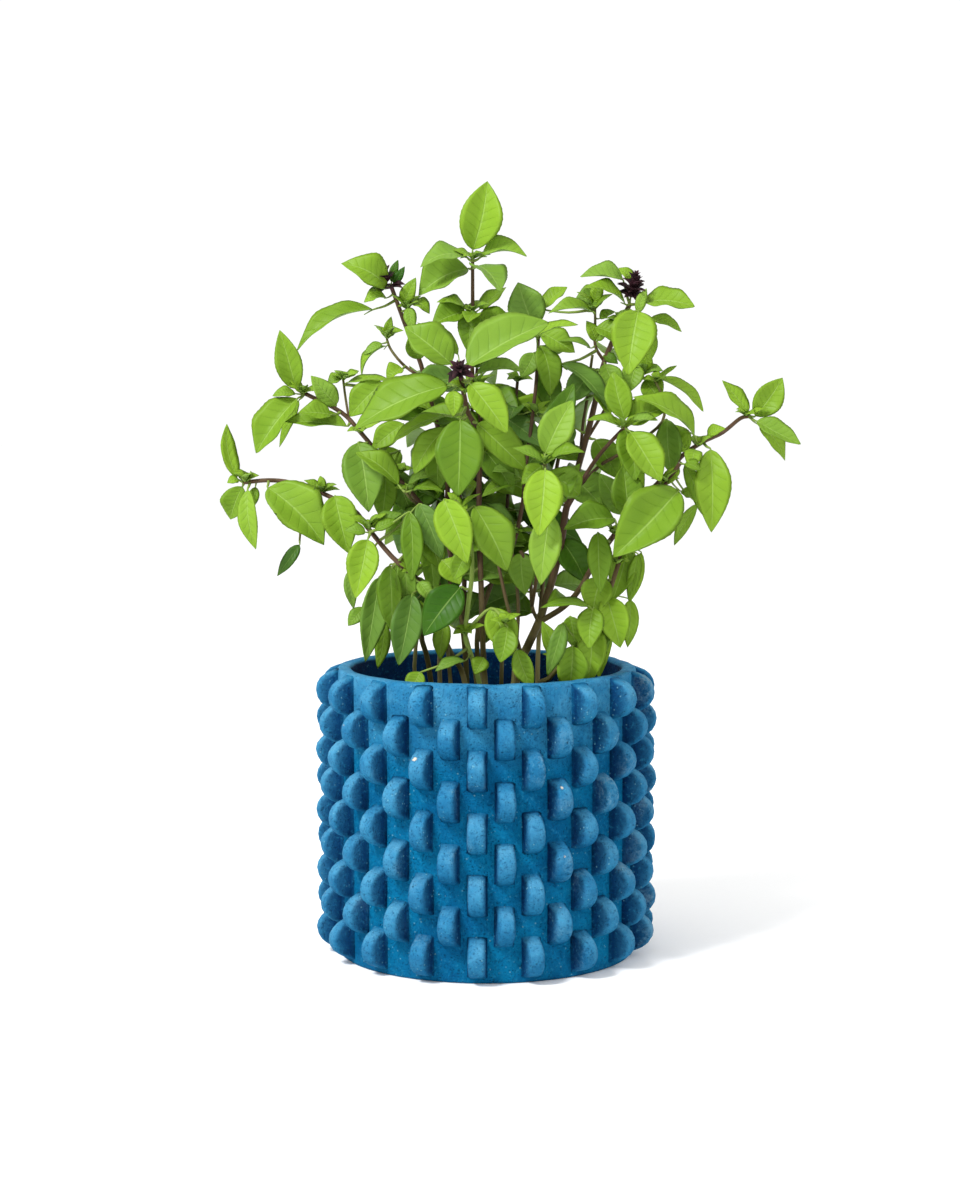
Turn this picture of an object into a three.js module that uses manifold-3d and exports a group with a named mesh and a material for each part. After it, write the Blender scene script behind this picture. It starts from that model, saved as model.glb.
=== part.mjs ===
// A Thai basil in a round pot whose wall is covered with upright half-disc nubs.
// Millimetres, +Z up. The origin is the middle of the pot's underside and the front is -Y.
import * as THREE from 'three';
import { mergeVertices } from 'three/addons/utils/BufferGeometryUtils.js';
import Module from 'manifold-3d';

const wasm = await Module();
wasm.setup();

// ---------------------------------------------------------------- driving dimensions
const potHeight = 128;
const wallRadius = 66.6;
const wallThickness = 6.4;
const jacketThickness = 1.6;
const floorThickness = 8;
const edgeRound = 1.6;
const columns = 36;
const nubReach = 9.4;
const nubHalfHeight = 8.7;
const nubWidth = 7.8;
const nubRootDepth = 1;
const nubArcSteps = 3;
const rimBand = 1;
const footBand = 2.6;
const nubsInFullColumn = 5;
const frontColumnTurn = -93.3;
const soilBelowRim = 28;
const soilCrown = 3;
const rootDepth = 6;
const plantHeight = 214;
const leafWidthShare = 1;
const leafThickness = 1.1;
const leafFold = 0.3;
const leafSteps = 7;
const sprigSteps = 4;
const stemSides = 5;
const petioleSides = 4;
const petioleRadius = 0.75;
const gap = 0.35;
const flatTolerance = 0.02;

// ---------------------------------------------------------------- worked out from them
const innerRadius = wallRadius - wallThickness;
const soilHeight = potHeight - soilBelowRim;
const rootHeight = -soilBelowRim - rootDepth;
const topNubHeight = potHeight - rimBand - nubHalfHeight;
const bottomNubHeight = footBand + nubHalfHeight;
const nubPitch = (topNubHeight - bottomNubHeight) / (nubsInFullColumn - 1);
const columnTurn = (2 * Math.PI) / columns;
// The plant's lists are drawn for this radius inside the wall and for this height above the rim.
const drawnInnerRadius = 60.2;
const drawnPlantHeight = 214;
const spread = innerRadius / drawnInnerRadius;
const rise = plantHeight / drawnPlantHeight;

// ---------------------------------------------------------------- the plant
// Points are [x, y, height above the rim].
// stems: [lower radius, upper radius, points from the bottom up]; a first stem starts in the soil.
// leaves and sprigs: [base, tip, width, arch of the midrib, direction that the upper face looks].
// leaves are nodes of their own; sprigs are the small leaves that stay one body with their shoot.
const shoots = {
  top: {
    stems: [
      [1.5, 1.1, [[-8, 8, rootHeight], [-9, 6, 0], [-10, 5, 30], [-8, 6, 60], [-4, 8, 85],
        [-2, 8, 105], [-6, 7, 127], [-6, 6, 152], [-6, 5, 167], [-6, 4, 179]]],
    ],
    leaves: [
      [[-5, 4, 184], [1, 4, 214], 18, 1, [0, -1, 0.2]],
      [[-9, 3, 181], [-29, -4, 176], 13, 5, [-0.2, -0.6, 1]],
      [[-2, 3, 181], [18, 0, 181], 12, 5, [0.2, -0.6, 1]],
      [[-9, 9, 176], [-30, 5, 165], 15, 4, [0, -0.8, 1]],
      [[-4, 0, 177], [6, -21, 165], 17, 2, [0.3, -0.5, 1]],
    ],
    sprigs: [
      [[-9, 4, 158], [-22, 0, 161], 8, 2, [0, -0.6, 1]],
      [[-3, 8, 158], [9, 13, 168], 8, 1, [0, -0.8, 1]],
      [[-9, 4, 153], [-18, -3, 147], 9, 2, [0, -0.8, 1]],
      [[-5, 2, 156], [-8, -9, 152], 9, 1, [0, -0.5, 1]],
      [[-5, 10, 122], [4, 36, 124], 14, 4, [0, 0.4, 1]],
      [[-7, 9, 66], [-20, 34, 60], 15, 4, [0, 0.4, 1]],
    ],
  },
  upper_left: {
    stems: [
      [1.4, 1.0, [[-22, 10, rootHeight], [-26, 7, 0], [-29, 4, 14], [-25, 1, 32], [-21, -2, 49],
        [-19, -4, 62], [-17, -4, 80], [-19, -2, 96], [-23, 1, 112], [-29, 4, 134], [-35, 7, 149],
        [-38, 8, 157], [-42, 8, 168]]],
      [0.9, 0.6, [[-27, 3, 127], [-36, 5, 133], [-42, 5, 140], [-44, 5, 145]]],
    ],
    leaves: [
      [[-45, 6, 166], [-64, 2, 178], 17, 2, [0, -1, 0.35]],
      [[-52, 7, 158], [-84, 0, 139], 12, 9, [-0.2, -0.5, 1]],
    ],
    sprigs: [
      [[-33, 7, 161], [-25, 4, 156], 8, 2, [0, -0.8, 1]],
      [[-44, 4, 163], [-54, 2, 161], 8, 2, [0, -0.8, 1]],
      [[-37, 3, 132], [-44, 0, 127], 9, 1, [0, -0.8, 1]],
      [[-20, 2, 100], [-36, 30, 96], 15, 4, [0, 0.4, 1]],
      [[-24, 8, 120], [-34, 34, 130], 14, 4, [0, 0.3, 1]],
    ],
  },
  left: {
    stems: [
      [1.4, 1.0, [[-8, -2, rootHeight], [-9, -3, 0], [-11, -6, 22], [-14, -10, 40], [-17, -13, 56],
        [-23, -15, 66], [-31, -15, 76], [-39, -13, 85], [-55, -8, 104], [-64, -4, 113],
        [-80, 0, 121]]],
      [0.9, 0.7, [[-27, -15, 71], [-32, -20, 75], [-35, -26, 79]]],
      [0.7, 0.6, [[-60, -6, 108], [-62, -2, 119], [-63, -2, 127]]],
    ],
    leaves: [
      [[-54, -13, 101], [-48, -24, 71], 14, 2, [0, -1, 0.4]],
      [[-38, -26, 82], [-57, -22, 96], 12, 2, [0.3, -0.8, 0.8]],
      [[-61, -10, 107], [-88, -12, 109], 11, 2, [0, -0.5, 1]],
      [[-82, 0, 124], [-89, 0, 149], 11, 1, [0, -1, 0]],
      [[-83, -4, 118], [-100, -10, 95], 14, 3, [-0.4, -0.9, 0.5]],
    ],
    sprigs: [
      [[-66, -3, 116], [-77, -6, 129], 10, 1, [0.2, -1, 0.3]],
      [[-68, -12, 112], [-82, -17, 113], 11, 1, [0, -0.8, 0.8]],
      [[-32, -28, 80], [-18, -31, 79], 7, 2, [0, -0.7, 1]],
      [[-34, -25, 82], [-21, -26, 86], 7, 2, [0, -0.7, 1]],
      [[-38, -3, 96], [-47, 2, 84], 14, 2, [0, -0.9, 0.6]],
    ],
  },
  far_left: {
    stems: [
      [1.4, 1.0, [[-4, -16, rootHeight], [-10, -16, -3], [-15, -18, 7], [-20, -20, 18],
        [-27, -23, 36], [-32, -25, 43], [-41, -26, 51], [-52, -24, 64], [-58, -20, 71], [-73, -10, 78],
        [-86, -6, 82], [-96, -5, 83], [-107, -4, 82]]],
      [0.8, 0.6, [[-80, -8, 80], [-82, 2, 68], [-83, 2, 56]]],
      [0.8, 0.7, [[-51, -24, 63], [-50, -30, 62]]],
    ],
    leaves: [
      [[-108, 0, 80], [-114, 4, 65], 12, 1, [-0.2, -1, 0.2]],
      [[-105, -8, 79], [-101, -14, 53], 9, 2, [-0.2, -1, 0.3]],
      [[-94, -9, 80], [-71, -15, 56], 20, 3, [0.2, -1, 0.5]],
      [[-66, -18, 77], [-60, -22, 52], 16, 2, [0, -1, 0.3]],
      [[-51, -34, 59], [-56, -41, 34], 14, 2, [0, -1, 0.3]],
      [[-47, -15, 41], [-53, -21, 4], 12, 1, [0.2, -1, 0.1]],
      [[-42, -22, 47], [-41, -27, 18], 12, 2, [-0.3, -1, 0.2]],
      [[-32, -30, 35], [-38, -34, 4], 14, 2, [0, -1, 0.2]],
    ],
    sprigs: [
      [[-108, -4, 85], [-112, -6, 108], 7, -3, [0.6, -1, 0]],
      [[-54, -9, 27], [-61, -11, 19], 7, 1, [0, -1, 0.5]],
      [[-29, -36, 41], [-22, -40, 32], 7, 1, [0, -1, 0.6]],
      [[-28, -26, 62], [-20, -29, 46], 12, 2, [0.2, -1, 0.3]],
    ],
  },
  centre: {
    stems: [
      [1.5, 1.1, [[2, -10, rootHeight], [-1, -11, 0], [-2, -15, 30], [-3, -18, 60], [-3, -21, 85],
        [-2, -25, 96], [-5, -31, 108], [-8, -35, 114], [-10, -38, 124], [-11, -40, 130]]],
    ],
    leaves: [
      [[-8, -33, 134], [27, -26, 153], 18, 3, [-0.2, -0.8, 1]],
      [[-15, -34, 134], [-35, -32, 150], 19, 2, [0.1, -0.9, 0.8]],
      [[-16, -38, 125], [-57, -36, 106], 19, 4, [0, -0.8, 0.8]],
      [[-7, -43, 126], [9, -48, 105], 15, 2, [0.2, -1, 0.4]],
      [[-11, -45, 111], [-12, -48, 78], 21, 2, [0, -1, 0.2]],
      [[-4, -36, 109], [17, -37, 89], 15, 2, [0.3, -0.9, 0.5]],
    ],
    sprigs: [
      [[-12, -30, 138], [-30, -21, 152], 8, 1, [0, -0.6, 1]],
      [[-14, -43, 123], [-14, -47, 112], 8, 1, [0, -1, 0.2]],
      [[-4, -30, 130], [16, -24, 131], 10, 2, [0, -0.7, 1]],
      [[-18, -31, 112], [-40, -32, 101], 9, 3, [0, -0.7, 1]],
      [[-17, -32, 107], [-31, -34, 87], 12, 2, [-0.2, -1, 0.3]],
    ],
  },
  front: {
    stems: [
      [1.3, 1.0, [[2, -28, rootHeight], [-3, -30, -4], [-6, -32, 7], [-9, -34, 17], [-8, -35, 29],
        [-6, -37, 47], [-8, -39, 66], [-13, -42, 76]]],
      [1.0, 0.7, [[-8, -34, 20], [2, -42, 30], [8, -48, 25]]],
    ],
    leaves: [
      [[-18, -46, 77], [-8, -52, 50], 16, 2, [-0.2, -1, 0.3]],
      [[-5, -43, 74], [9, -44, 46], 18, 2, [0.2, -1, 0.3]],
      [[-11, -39, 39], [-27, -42, 18], 17, 2, [-0.1, -1, 0.3]],
    ],
    sprigs: [
      [[-8, -40, 54], [-14, -42, 42], 9, 1, [0, -1, 0.3]],
      [[9, -50, 23], [6, -54, 8], 11, 1, [0, -1, 0.2]],
      [[-1, -36, 8], [-5, -40, 1], 8, 1, [0, -1, 0.5]],
      [[-9, -38, 7], [-22, -44, 3], 7, 2, [0, -0.6, 1]],
    ],
  },
  back: {
    stems: [
      [1.4, 1.0, [[0, 0, rootHeight], [-4, -2, 5], [-3, -6, 20], [1, -9, 34], [5, -12, 44],
        [12, -14, 56], [16, -14, 74], [17, -13, 87], [20, -10, 109], [22, -5, 127], [23, 1, 145]]],
    ],
    leaves: [
      [[21, 5, 150], [14, 7, 170], 17, 2, [0, -1, 0.2]],
    ],
    sprigs: [
      [[24, -5, 142], [28, -9, 120], 12, 2, [0.2, -1, 0.2]],
      [[21, -5, 139], [15, -9, 128], 9, 1, [0, -1, 0.3]],
      [[15, -17, 84], [-2, -28, 77], 9, 2, [0, -0.8, 1]],
      [[18, -4, 92], [30, 28, 92], 16, 4, [0, 0.4, 1]],
      [[14, -4, 60], [22, 24, 52], 15, 4, [0, 0.4, 1]],
    ],
  },
  right: {
    stems: [
      [2.3, 1.1, [[8, -12, rootHeight], [14, -14, 0], [18, -15, 10], [23, -15, 21], [26, -14, 30],
        [30, -12, 43], [33, -11, 56], [35, -10, 70], [39, -8, 84], [43, -6, 98], [46, -4, 109],
        [49, -3, 122], [52, -2, 135], [59, -2, 152], [63, -2, 160]]],
      [1.2, 0.9, [[35, -10, 70], [44, -18, 87], [50, -22, 96], [57, -25, 104], [60, -26, 107]]],
      [1.0, 0.7, [[37, -9, 76], [49, -11, 89], [57, -12, 94], [65, -13, 99], [77, -12, 109],
        [77, -7, 120], [74, -3, 127]]],
      [0.9, 0.7, [[43, -6, 99], [50, -2, 110], [55, 0, 118], [64, 2, 125], [69, 2, 129]]],
      [0.9, 0.6, [[52, -2, 135], [48, -1, 142], [48, 1, 152], [48, 3, 160]]],
      [1.0, 0.9, [[23, -15, 21], [20, -21, 29], [19, -22, 44], [15, -20, 53]]],
      [1.0, 0.8, [[20, -21, 29], [22, -32, 44], [25, -38, 66], [25, -42, 86], [25, -43, 92]]],
      [1.5, 0.9, [[23, -15, 21], [34, -16, 28], [41, -17, 36], [46, -17, 45], [54, -17, 57],
        [63, -16, 69], [72, -14, 79], [79, -12, 86], [86, -10, 94], [95, -9, 100], [104, -5, 104],
        [112, -1, 110], [116, 0, 111]]],
    ],
    leaves: [
      [[66, -14, 157], [61, -26, 129], 20, 2, [0, -1, 0.3]],
      [[68, -5, 161], [91, -10, 160], 13, 3, [0.1, -0.6, 1]],
      [[91, -14, 103], [63, -25, 120], 15, 4, [-0.1, -0.8, 1]],
      [[83, -30, 81], [54, -44, 54], 20, 3, [0.2, -0.9, 0.7]],
      [[98, -14, 97], [98, -21, 61], 16, 2, [0, -1, 0.3]],
      [[62, -30, 105], [75, -37, 84], 16, 2, [0.2, -1, 0.4]],
      [[61, -31, 69], [59, -28, 91], 15, 1, [0.1, -1, 0.1]],
      [[55, -34, 68], [33, -44, 64], 14, 2, [0, -0.9, 0.6]],
      [[48, -34, 62], [49, -38, 36], 11, 1, [0.2, -1, 0]],
      [[118, 1, 112], [129, 2, 129], 13, 1, [0, -1, 0.1]],
      [[119, -4, 109], [138, -10, 100], 11, 2, [0, -0.7, 0.8]],
      [[25, -43, 96], [37, -38, 119], 15, 1, [0, -1, 0.2]],
      [[25, -50, 90], [22, -58, 62], 17, 2, [0, -1, 0.3]],
      [[27, -47, 71], [23, -54, 41], 14, 2, [0, -1, 0.2]],
    ],
    sprigs: [
      [[60, -1, 170], [41, -4, 173], 11, 4, [0, -0.6, 1]],
      [[61, -6, 160], [42, -12, 167], 10, 3, [0, -0.6, 1]],
      [[72, 1, 154], [86, -2, 148], 7, 2, [0, -0.6, 1]],
      [[47, 1, 157], [27, -4, 156], 9, 3, [0, -0.6, 1]],
      [[48, -8, 122], [54, -13, 111], 9, 2, [0.4, -1, 0.4]],
      [[60, -21, 110], [55, -15, 131], 12, 1, [0, -1, 0]],
      [[75, -1, 128], [96, 0, 113], 10, 3, [0.3, -0.6, 1]],
      [[58, -27, 107], [43, -29, 110], 7, 2, [0, -0.6, 1]],
      [[62, -27, 108], [74, -28, 110], 7, 2, [0, -0.6, 1]],
      [[59, -22, 103], [68, -22, 76], 10, 1, [0.2, -1, 0.2]],
      [[61, -19, 69], [49, -22, 87], 12, 1, [0, -1, 0.1]],
      [[87, -9, 90], [95, -9, 68], 8, 1, [0.2, -1, 0.2]],
      [[88, -11, 96], [80, -9, 108], 11, 1, [0, -1, 0.2]],
      [[91, -17, 97], [89, -23, 88], 8, 1, [0, -1, 0.4]],
      [[115, 0, 113], [103, 0, 127], 7, -4, [0.8, -1, 0]],
      [[118, 4, 108], [131, 6, 91], 8, 2, [0.4, -1, 0.3]],
      [[62, -19, 55], [55, -22, 31], 12, 1, [0, -1, 0.1]],
      [[37, -20, 30], [26, -32, 30], 10, 2, [0, -0.4, 1]],
      [[26, -39, 72], [40, -40, 92], 9, 1, [0.2, -1, 0.3]],
      [[24, -46, 93], [11, -48, 99], 7, 1, [0, -0.7, 1]],
      [[27, -46, 94], [42, -50, 97], 8, 2, [0, -0.7, 1]],
      [[53, 0, 138], [62, 28, 134], 15, 4, [0, 0.4, 1]],
      [[40, -4, 84], [50, 26, 80], 16, 4, [0, 0.4, 1]],
    ],
  },
  low_right: {
    stems: [
      [1.4, 1.0, [[16, -30, rootHeight], [22, -34, -6], [27, -36, -1], [33, -37, 6], [38, -36, 11],
        [44, -34, 18], [50, -31, 29], [54, -29, 38], [58, -28, 50], [63, -27, 61], [71, -25, 73],
        [77, -23, 81], [84, -21, 91]]],
    ],
    leaves: [
      [[37, -42, 14], [35, -40, -8], 14, 1, [0.1, -1, 0.1]],
    ],
    sprigs: [
      [[52, -31, 24], [43, -35, 0], 10, 1, [-0.2, -1, 0.1]],
      [[46, -38, 30], [44, -47, 13], 12, 1, [0, -1, 0.2]],
      [[33, -42, 24], [26, -46, 1], 8, 1, [0, -1, 0]],
    ],
  },
};

// Flower heads: [foot, direction, length, radius].
const flowers = {
  left: [[-43, 8, 170], [-0.3, 0, 1], 9, 2.6],
  centre: [[-11.3, -41.5, 131.5], [-0.1, -0.8, 0.6], 9, 3],
  right: [[63.6, -2, 162], [0.15, 0, 1], 14, 3.6],
};

// ---------------------------------------------------------------- helpers
const place = ([x, y, height]) => new THREE.Vector3(x * spread, y * spread, potHeight + height * rise);

function solid(geometry) {
  const bare = geometry.clone();
  bare.deleteAttribute('normal');
  bare.deleteAttribute('uv');
  const merged = mergeVertices(bare, 1e-4);
  const vertProperties = new Float32Array(merged.attributes.position.array);
  const triVerts = new Uint32Array(merged.index.array);
  return new wasm.Manifold(new wasm.Mesh({ numProp: 3, vertProperties, triVerts }));
}

// Cuts and joins leave slivers and split flat faces: they are merged here.
function geometryOf(manifold) {
  const mesh = manifold.asOriginal().simplify(flatTolerance).getMesh();
  const geometry = new THREE.BufferGeometry();
  geometry.setAttribute('position', new THREE.BufferAttribute(mesh.vertProperties, 3));
  geometry.setIndex(new THREE.BufferAttribute(mesh.triVerts, 1));
  geometry.computeVertexNormals();
  return geometry;
}

function join(solids) {
  return solids.reduce((whole, part) => whole.add(part));
}

function boxesMeet(a, b) {
  return [0, 1, 2].every((k) => a.min[k] < b.max[k] && b.min[k] < a.max[k]);
}

// Cuts a solid clear of its neighbours and keeps its largest piece.
function keepClear(body, neighbours) {
  const near = neighbours.filter((n) => boxesMeet(body.boundingBox(), n.boundingBox()));
  const touching = near.filter((n) => body.intersect(n).volume() > 0);
  if (touching.length === 0) return body;
  const pieces = body.subtract(join(touching)).decompose();
  return pieces.reduce((best, piece) => (piece.volume() > best.volume() ? piece : best));
}

// ---------------------------------------------------------------- shapes
// A leaf blade: a sphere with its poles at base and tip, drawn out to an ovate blade that is
// folded up along the midrib, thick at the midrib and thin at the margin.
function blade([from, to, width, arch, facing], steps, grow) {
  const base = place(from);
  const chord = place(to).sub(base);
  const up = new THREE.Vector3(...facing).projectOnPlane(chord.clone().normalize()).normalize();
  const across = chord.clone().normalize().cross(up);
  const halfWidth = (width * leafWidthShare * spread) / 2;
  const geometry = new THREE.SphereGeometry(1, 4, steps);
  const position = geometry.attributes.position;
  const point = new THREE.Vector3();
  for (let i = 0; i < position.count; i += 1) {
    point.fromBufferAttribute(position, i);
    const along = 1 - Math.acos(THREE.MathUtils.clamp(point.y, -1, 1)) / Math.PI;
    const side = Math.sign(Math.round(point.x * 100));
    const top = Math.sign(Math.round(point.z * 100));
    const ovate = Math.sin(Math.PI * along ** 0.86) ** 0.8 || 0;
    const sideways = side * (halfWidth * ovate + grow);
    const lift = arch * rise * 4 * along * (1 - along) + Math.abs(sideways) * leafFold;
    const thick = top * ((leafThickness / 2) * (0.5 + ovate / 2) + grow);
    point.copy(base).addScaledVector(chord, along);
    point.addScaledVector(across, sideways).addScaledVector(up, lift + thick);
    position.setXYZ(i, point.x, point.y, point.z);
  }
  return solid(geometry);
}

// A round rod along a curve, thinning from the first radius to the second.
function rod(points, lower, upper, sides, steps) {
  const curve = new THREE.CatmullRomCurve3(points, false, 'centripetal');
  const geometry = new THREE.CylinderGeometry(upper, lower, 1, sides, steps);
  const position = geometry.attributes.position;
  const sideways = new THREE.Vector3(0, 1, 0);
  for (let i = 0; i < position.count; i += 1) {
    const along = THREE.MathUtils.clamp(position.getY(i) + 0.5, 0, 1);
    const tangent = curve.getTangentAt(along);
    const u = tangent.clone().cross(sideways).normalize();
    const v = tangent.clone().cross(u);
    const point = curve.getPointAt(along);
    point.addScaledVector(u, position.getX(i)).addScaledVector(v, -position.getZ(i));
    position.setXYZ(i, point.x, point.y, point.z);
  }
  return solid(geometry);
}

function nearestOn(curves, target) {
  let best = null;
  for (const curve of curves) {
    for (const candidate of curve.getSpacedPoints(60)) {
      if (!best || candidate.distanceTo(target) < best.distanceTo(target)) best = candidate;
    }
  }
  return best;
}

// A profile turned round the upright axis, with a flat facet behind each column of nubs.
function turned(profile) {
  const body = new THREE.LatheGeometry(profile, columns);
  body.rotateX(Math.PI / 2);
  body.rotateZ(THREE.MathUtils.degToRad(frontColumnTurn) + columnTurn / 2);
  return body;
}

// The pot's inner cup: a turned wall with a floor.
function pot() {
  const outer = (wallRadius - jacketThickness - gap) / Math.cos(columnTurn / 2);
  const inner = innerRadius / Math.cos(columnTurn / 2);
  const profile = [
    new THREE.Vector2(0, 0),
    new THREE.Vector2(outer - edgeRound / 2, 0),
    new THREE.Vector2(outer, edgeRound / 2),
    new THREE.Vector2(outer, potHeight - edgeRound / 2),
    new THREE.Vector2(outer - edgeRound / 2, potHeight),
    new THREE.Vector2(inner + edgeRound, potHeight),
    new THREE.Vector2(inner, potHeight - edgeRound),
    new THREE.Vector2(inner, floorThickness),
    new THREE.Vector2(0, floorThickness),
  ];
  return solid(turned(profile));
}

// The jacket cast round the cup, with columns of upright half-disc nubs in staggered rows.
// It stops short of the rim and of the foot, which rounds those edges off.
function nubs() {
  const outer = wallRadius / Math.cos(columnTurn / 2);
  const inner = (wallRadius - jacketThickness) / Math.cos(columnTurn / 2);
  const profile = [
    new THREE.Vector2(inner, edgeRound),
    new THREE.Vector2(outer, edgeRound),
    new THREE.Vector2(outer, potHeight - rimBand / 2),
    new THREE.Vector2(inner, potHeight - rimBand / 2),
    new THREE.Vector2(inner, edgeRound),
  ];
  const half = new THREE.Shape();
  half.absellipse(0, 0, nubReach + nubRootDepth, nubHalfHeight, -Math.PI / 2, Math.PI / 2);
  const bodies = [solid(turned(profile))];
  for (let column = 0; column < columns; column += 1) {
    const staggered = column % 2;
    for (let row = 0; row < nubsInFullColumn - staggered; row += 1) {
      const nub = new THREE.ExtrudeGeometry(half, {
        depth: nubWidth, bevelEnabled: false, curveSegments: nubArcSteps,
      });
      nub.translate(wallRadius - nubRootDepth, 0, -nubWidth / 2);
      nub.rotateX(Math.PI / 2);
      nub.translate(0, 0, bottomNubHeight + (row + staggered / 2) * nubPitch);
      nub.rotateZ(THREE.MathUtils.degToRad(frontColumnTurn) + column * columnTurn);
      bodies.push(solid(nub));
    }
  }
  return join(bodies);
}

// The soil fills the pot up to soilBelowRim and is slightly higher in the middle.
function soil() {
  const radius = innerRadius - gap;
  const profile = [
    new THREE.Vector2(0, floorThickness + gap),
    new THREE.Vector2(radius, floorThickness + gap),
    new THREE.Vector2(radius, soilHeight - soilCrown),
    new THREE.Vector2(radius * 0.6, soilHeight - gap),
    new THREE.Vector2(0, soilHeight - gap),
  ];
  return solid(turned(profile));
}

// A shoot: its stems, the stalk of every leaf and the small leaves, as one body.
function shoot({ stems, leaves, sprigs }, grow) {
  const routes = stems.map(([, , points]) => points.map(place));
  const curves = routes.map((points) => new THREE.CatmullRomCurve3(points, false, 'centripetal'));
  const bodies = stems.map(([lower, upper, points], k) =>
    rod(routes[k], lower + grow, upper + grow, stemSides, points.length - 1));
  const stalk = ([from], past) => {
    const base = place(from);
    const foot = nearestOn(curves, base);
    const end = base.clone().addScaledVector(base.clone().sub(foot).normalize(), past);
    return rod([foot, end], petioleRadius + grow, petioleRadius + grow, petioleSides, 1);
  };
  for (const leaf of leaves) bodies.push(stalk(leaf, -gap - 2 * grow));
  for (const leaf of sprigs) bodies.push(stalk(leaf, petioleRadius), blade(leaf, sprigSteps, grow));
  return join(bodies);
}

// A flower head: a spindle with rings of pointed bracts.
function flower([foot, direction, length, radius], grow) {
  const core = new THREE.SphereGeometry(1, 6, 5);
  core.scale(radius * 0.6 + grow, length / 2 + grow, radius * 0.6 + grow);
  core.translate(0, length / 2, 0);
  const bodies = [solid(core)];
  const rings = 3;
  const bractsInRing = 4;
  for (let ring = 0; ring < rings; ring += 1) {
    for (let k = 0; k < bractsInRing; k += 1) {
      const bract = new THREE.ConeGeometry(radius * 0.3, radius * 1.3, 4);
      bract.translate(0, radius * 0.5, 0);
      bract.rotateZ(-1.1 + ring * 0.25);
      bract.translate(0, length * (0.2 + 0.22 * ring), 0);
      bract.rotateY((2 * Math.PI * (k + ring / 2)) / bractsInRing);
      bodies.push(solid(bract));
    }
  }
  const turn = new THREE.Quaternion().setFromUnitVectors(
    new THREE.Vector3(0, 1, 0), new THREE.Vector3(...direction).normalize());
  const matrix = new THREE.Matrix4().compose(place(foot), turn, new THREE.Vector3(1, 1, 1));
  return join(bodies).transform(matrix.elements);
}

// ---------------------------------------------------------------- materials
const glaze = new THREE.MeshStandardMaterial({ color: 0x1b6ea6, roughness: 0.8, metalness: 0 });
const earth = new THREE.MeshStandardMaterial({ color: 0x2f241b, roughness: 1, metalness: 0 });
const bark = new THREE.MeshStandardMaterial({ color: 0x6d6a33, roughness: 0.6, metalness: 0 });
const green = new THREE.MeshStandardMaterial({ color: 0x7fb032, roughness: 0.5, metalness: 0 });
const purple = new THREE.MeshStandardMaterial({ color: 0x33161f, roughness: 0.7, metalness: 0 });

// ---------------------------------------------------------------- assembly
const plant = new THREE.Group();

function addNode(name, manifold, material) {
  const mesh = new THREE.Mesh(geometryOf(manifold), material);
  mesh.name = name;
  plant.add(mesh);
}

addNode('pot', pot(), glaze);
addNode('pot_nubs', nubs(), glaze);

const takenSpace = [];
for (const [name, parts] of Object.entries(shoots)) {
  addNode(`shoot_${name}`, keepClear(shoot(parts, 0), takenSpace), bark);
  takenSpace.push(shoot(parts, gap));
}
addNode('soil', soil().subtract(join(takenSpace)), earth);
for (const [name, parts] of Object.entries(flowers)) {
  addNode(`flower_${name}`, keepClear(flower(parts, 0), takenSpace), purple);
  takenSpace.push(flower(parts, gap));
}
for (const [name, parts] of Object.entries(shoots)) {
  parts.leaves.forEach((leaf, k) => {
    addNode(`leaf_${name}_${k + 1}`, keepClear(blade(leaf, leafSteps, 0), takenSpace), green);
    takenSpace.push(blade(leaf, leafSteps, gap));
  });
}

export default plant;
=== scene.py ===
# %% [markdown]
# # A Thai basil in a blue nubbed pot
# The real thing is a young basil plant in a round pot, cast and painted matte blue, with upright
# half-disc nubs all over its wall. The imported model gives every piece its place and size. This
# lesson builds the look on it: first the stage, then the pot, the soil and the plant. Lengths are
# written in millimetres, which suit a plant, and become metres when a piece is finished.

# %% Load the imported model
import math
import random

import bmesh
import bpy
from mathutils import Matrix, Vector, noise


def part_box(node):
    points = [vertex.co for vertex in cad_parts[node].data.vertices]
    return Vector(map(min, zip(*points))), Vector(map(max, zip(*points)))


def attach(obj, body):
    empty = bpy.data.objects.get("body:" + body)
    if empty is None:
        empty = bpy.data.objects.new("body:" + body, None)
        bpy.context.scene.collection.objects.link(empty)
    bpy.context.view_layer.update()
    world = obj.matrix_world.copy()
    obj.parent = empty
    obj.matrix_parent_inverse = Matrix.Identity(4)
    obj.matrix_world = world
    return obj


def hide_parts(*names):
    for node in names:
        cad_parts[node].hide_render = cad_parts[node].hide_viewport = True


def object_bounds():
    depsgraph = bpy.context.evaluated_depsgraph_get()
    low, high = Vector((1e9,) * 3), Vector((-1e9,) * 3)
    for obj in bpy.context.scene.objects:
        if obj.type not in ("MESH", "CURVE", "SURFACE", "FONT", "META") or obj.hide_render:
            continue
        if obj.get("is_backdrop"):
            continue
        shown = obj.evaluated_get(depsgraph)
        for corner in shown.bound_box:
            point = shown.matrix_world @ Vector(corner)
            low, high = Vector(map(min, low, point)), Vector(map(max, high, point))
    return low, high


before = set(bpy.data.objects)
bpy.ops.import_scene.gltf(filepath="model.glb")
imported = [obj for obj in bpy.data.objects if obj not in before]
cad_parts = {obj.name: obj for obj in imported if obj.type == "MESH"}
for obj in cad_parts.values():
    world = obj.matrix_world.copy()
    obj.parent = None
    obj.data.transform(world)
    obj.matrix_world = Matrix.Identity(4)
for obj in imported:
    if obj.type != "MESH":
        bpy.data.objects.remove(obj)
cad_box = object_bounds()
MM = 1000
print("CAD box", [tuple(round(c, 4) for c in corner) for corner in cad_box])

# %% [markdown]
# ## Camera, light and floor
# The camera stands over a metre away and a little above the rim, and looks slightly down, as for a
# catalogue picture. A long lens keeps the pot's sides nearly upright. The light is a bright even sky
# with a soft lamp from the upper left, which shades the nubs, and a weaker one from the right.

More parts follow.
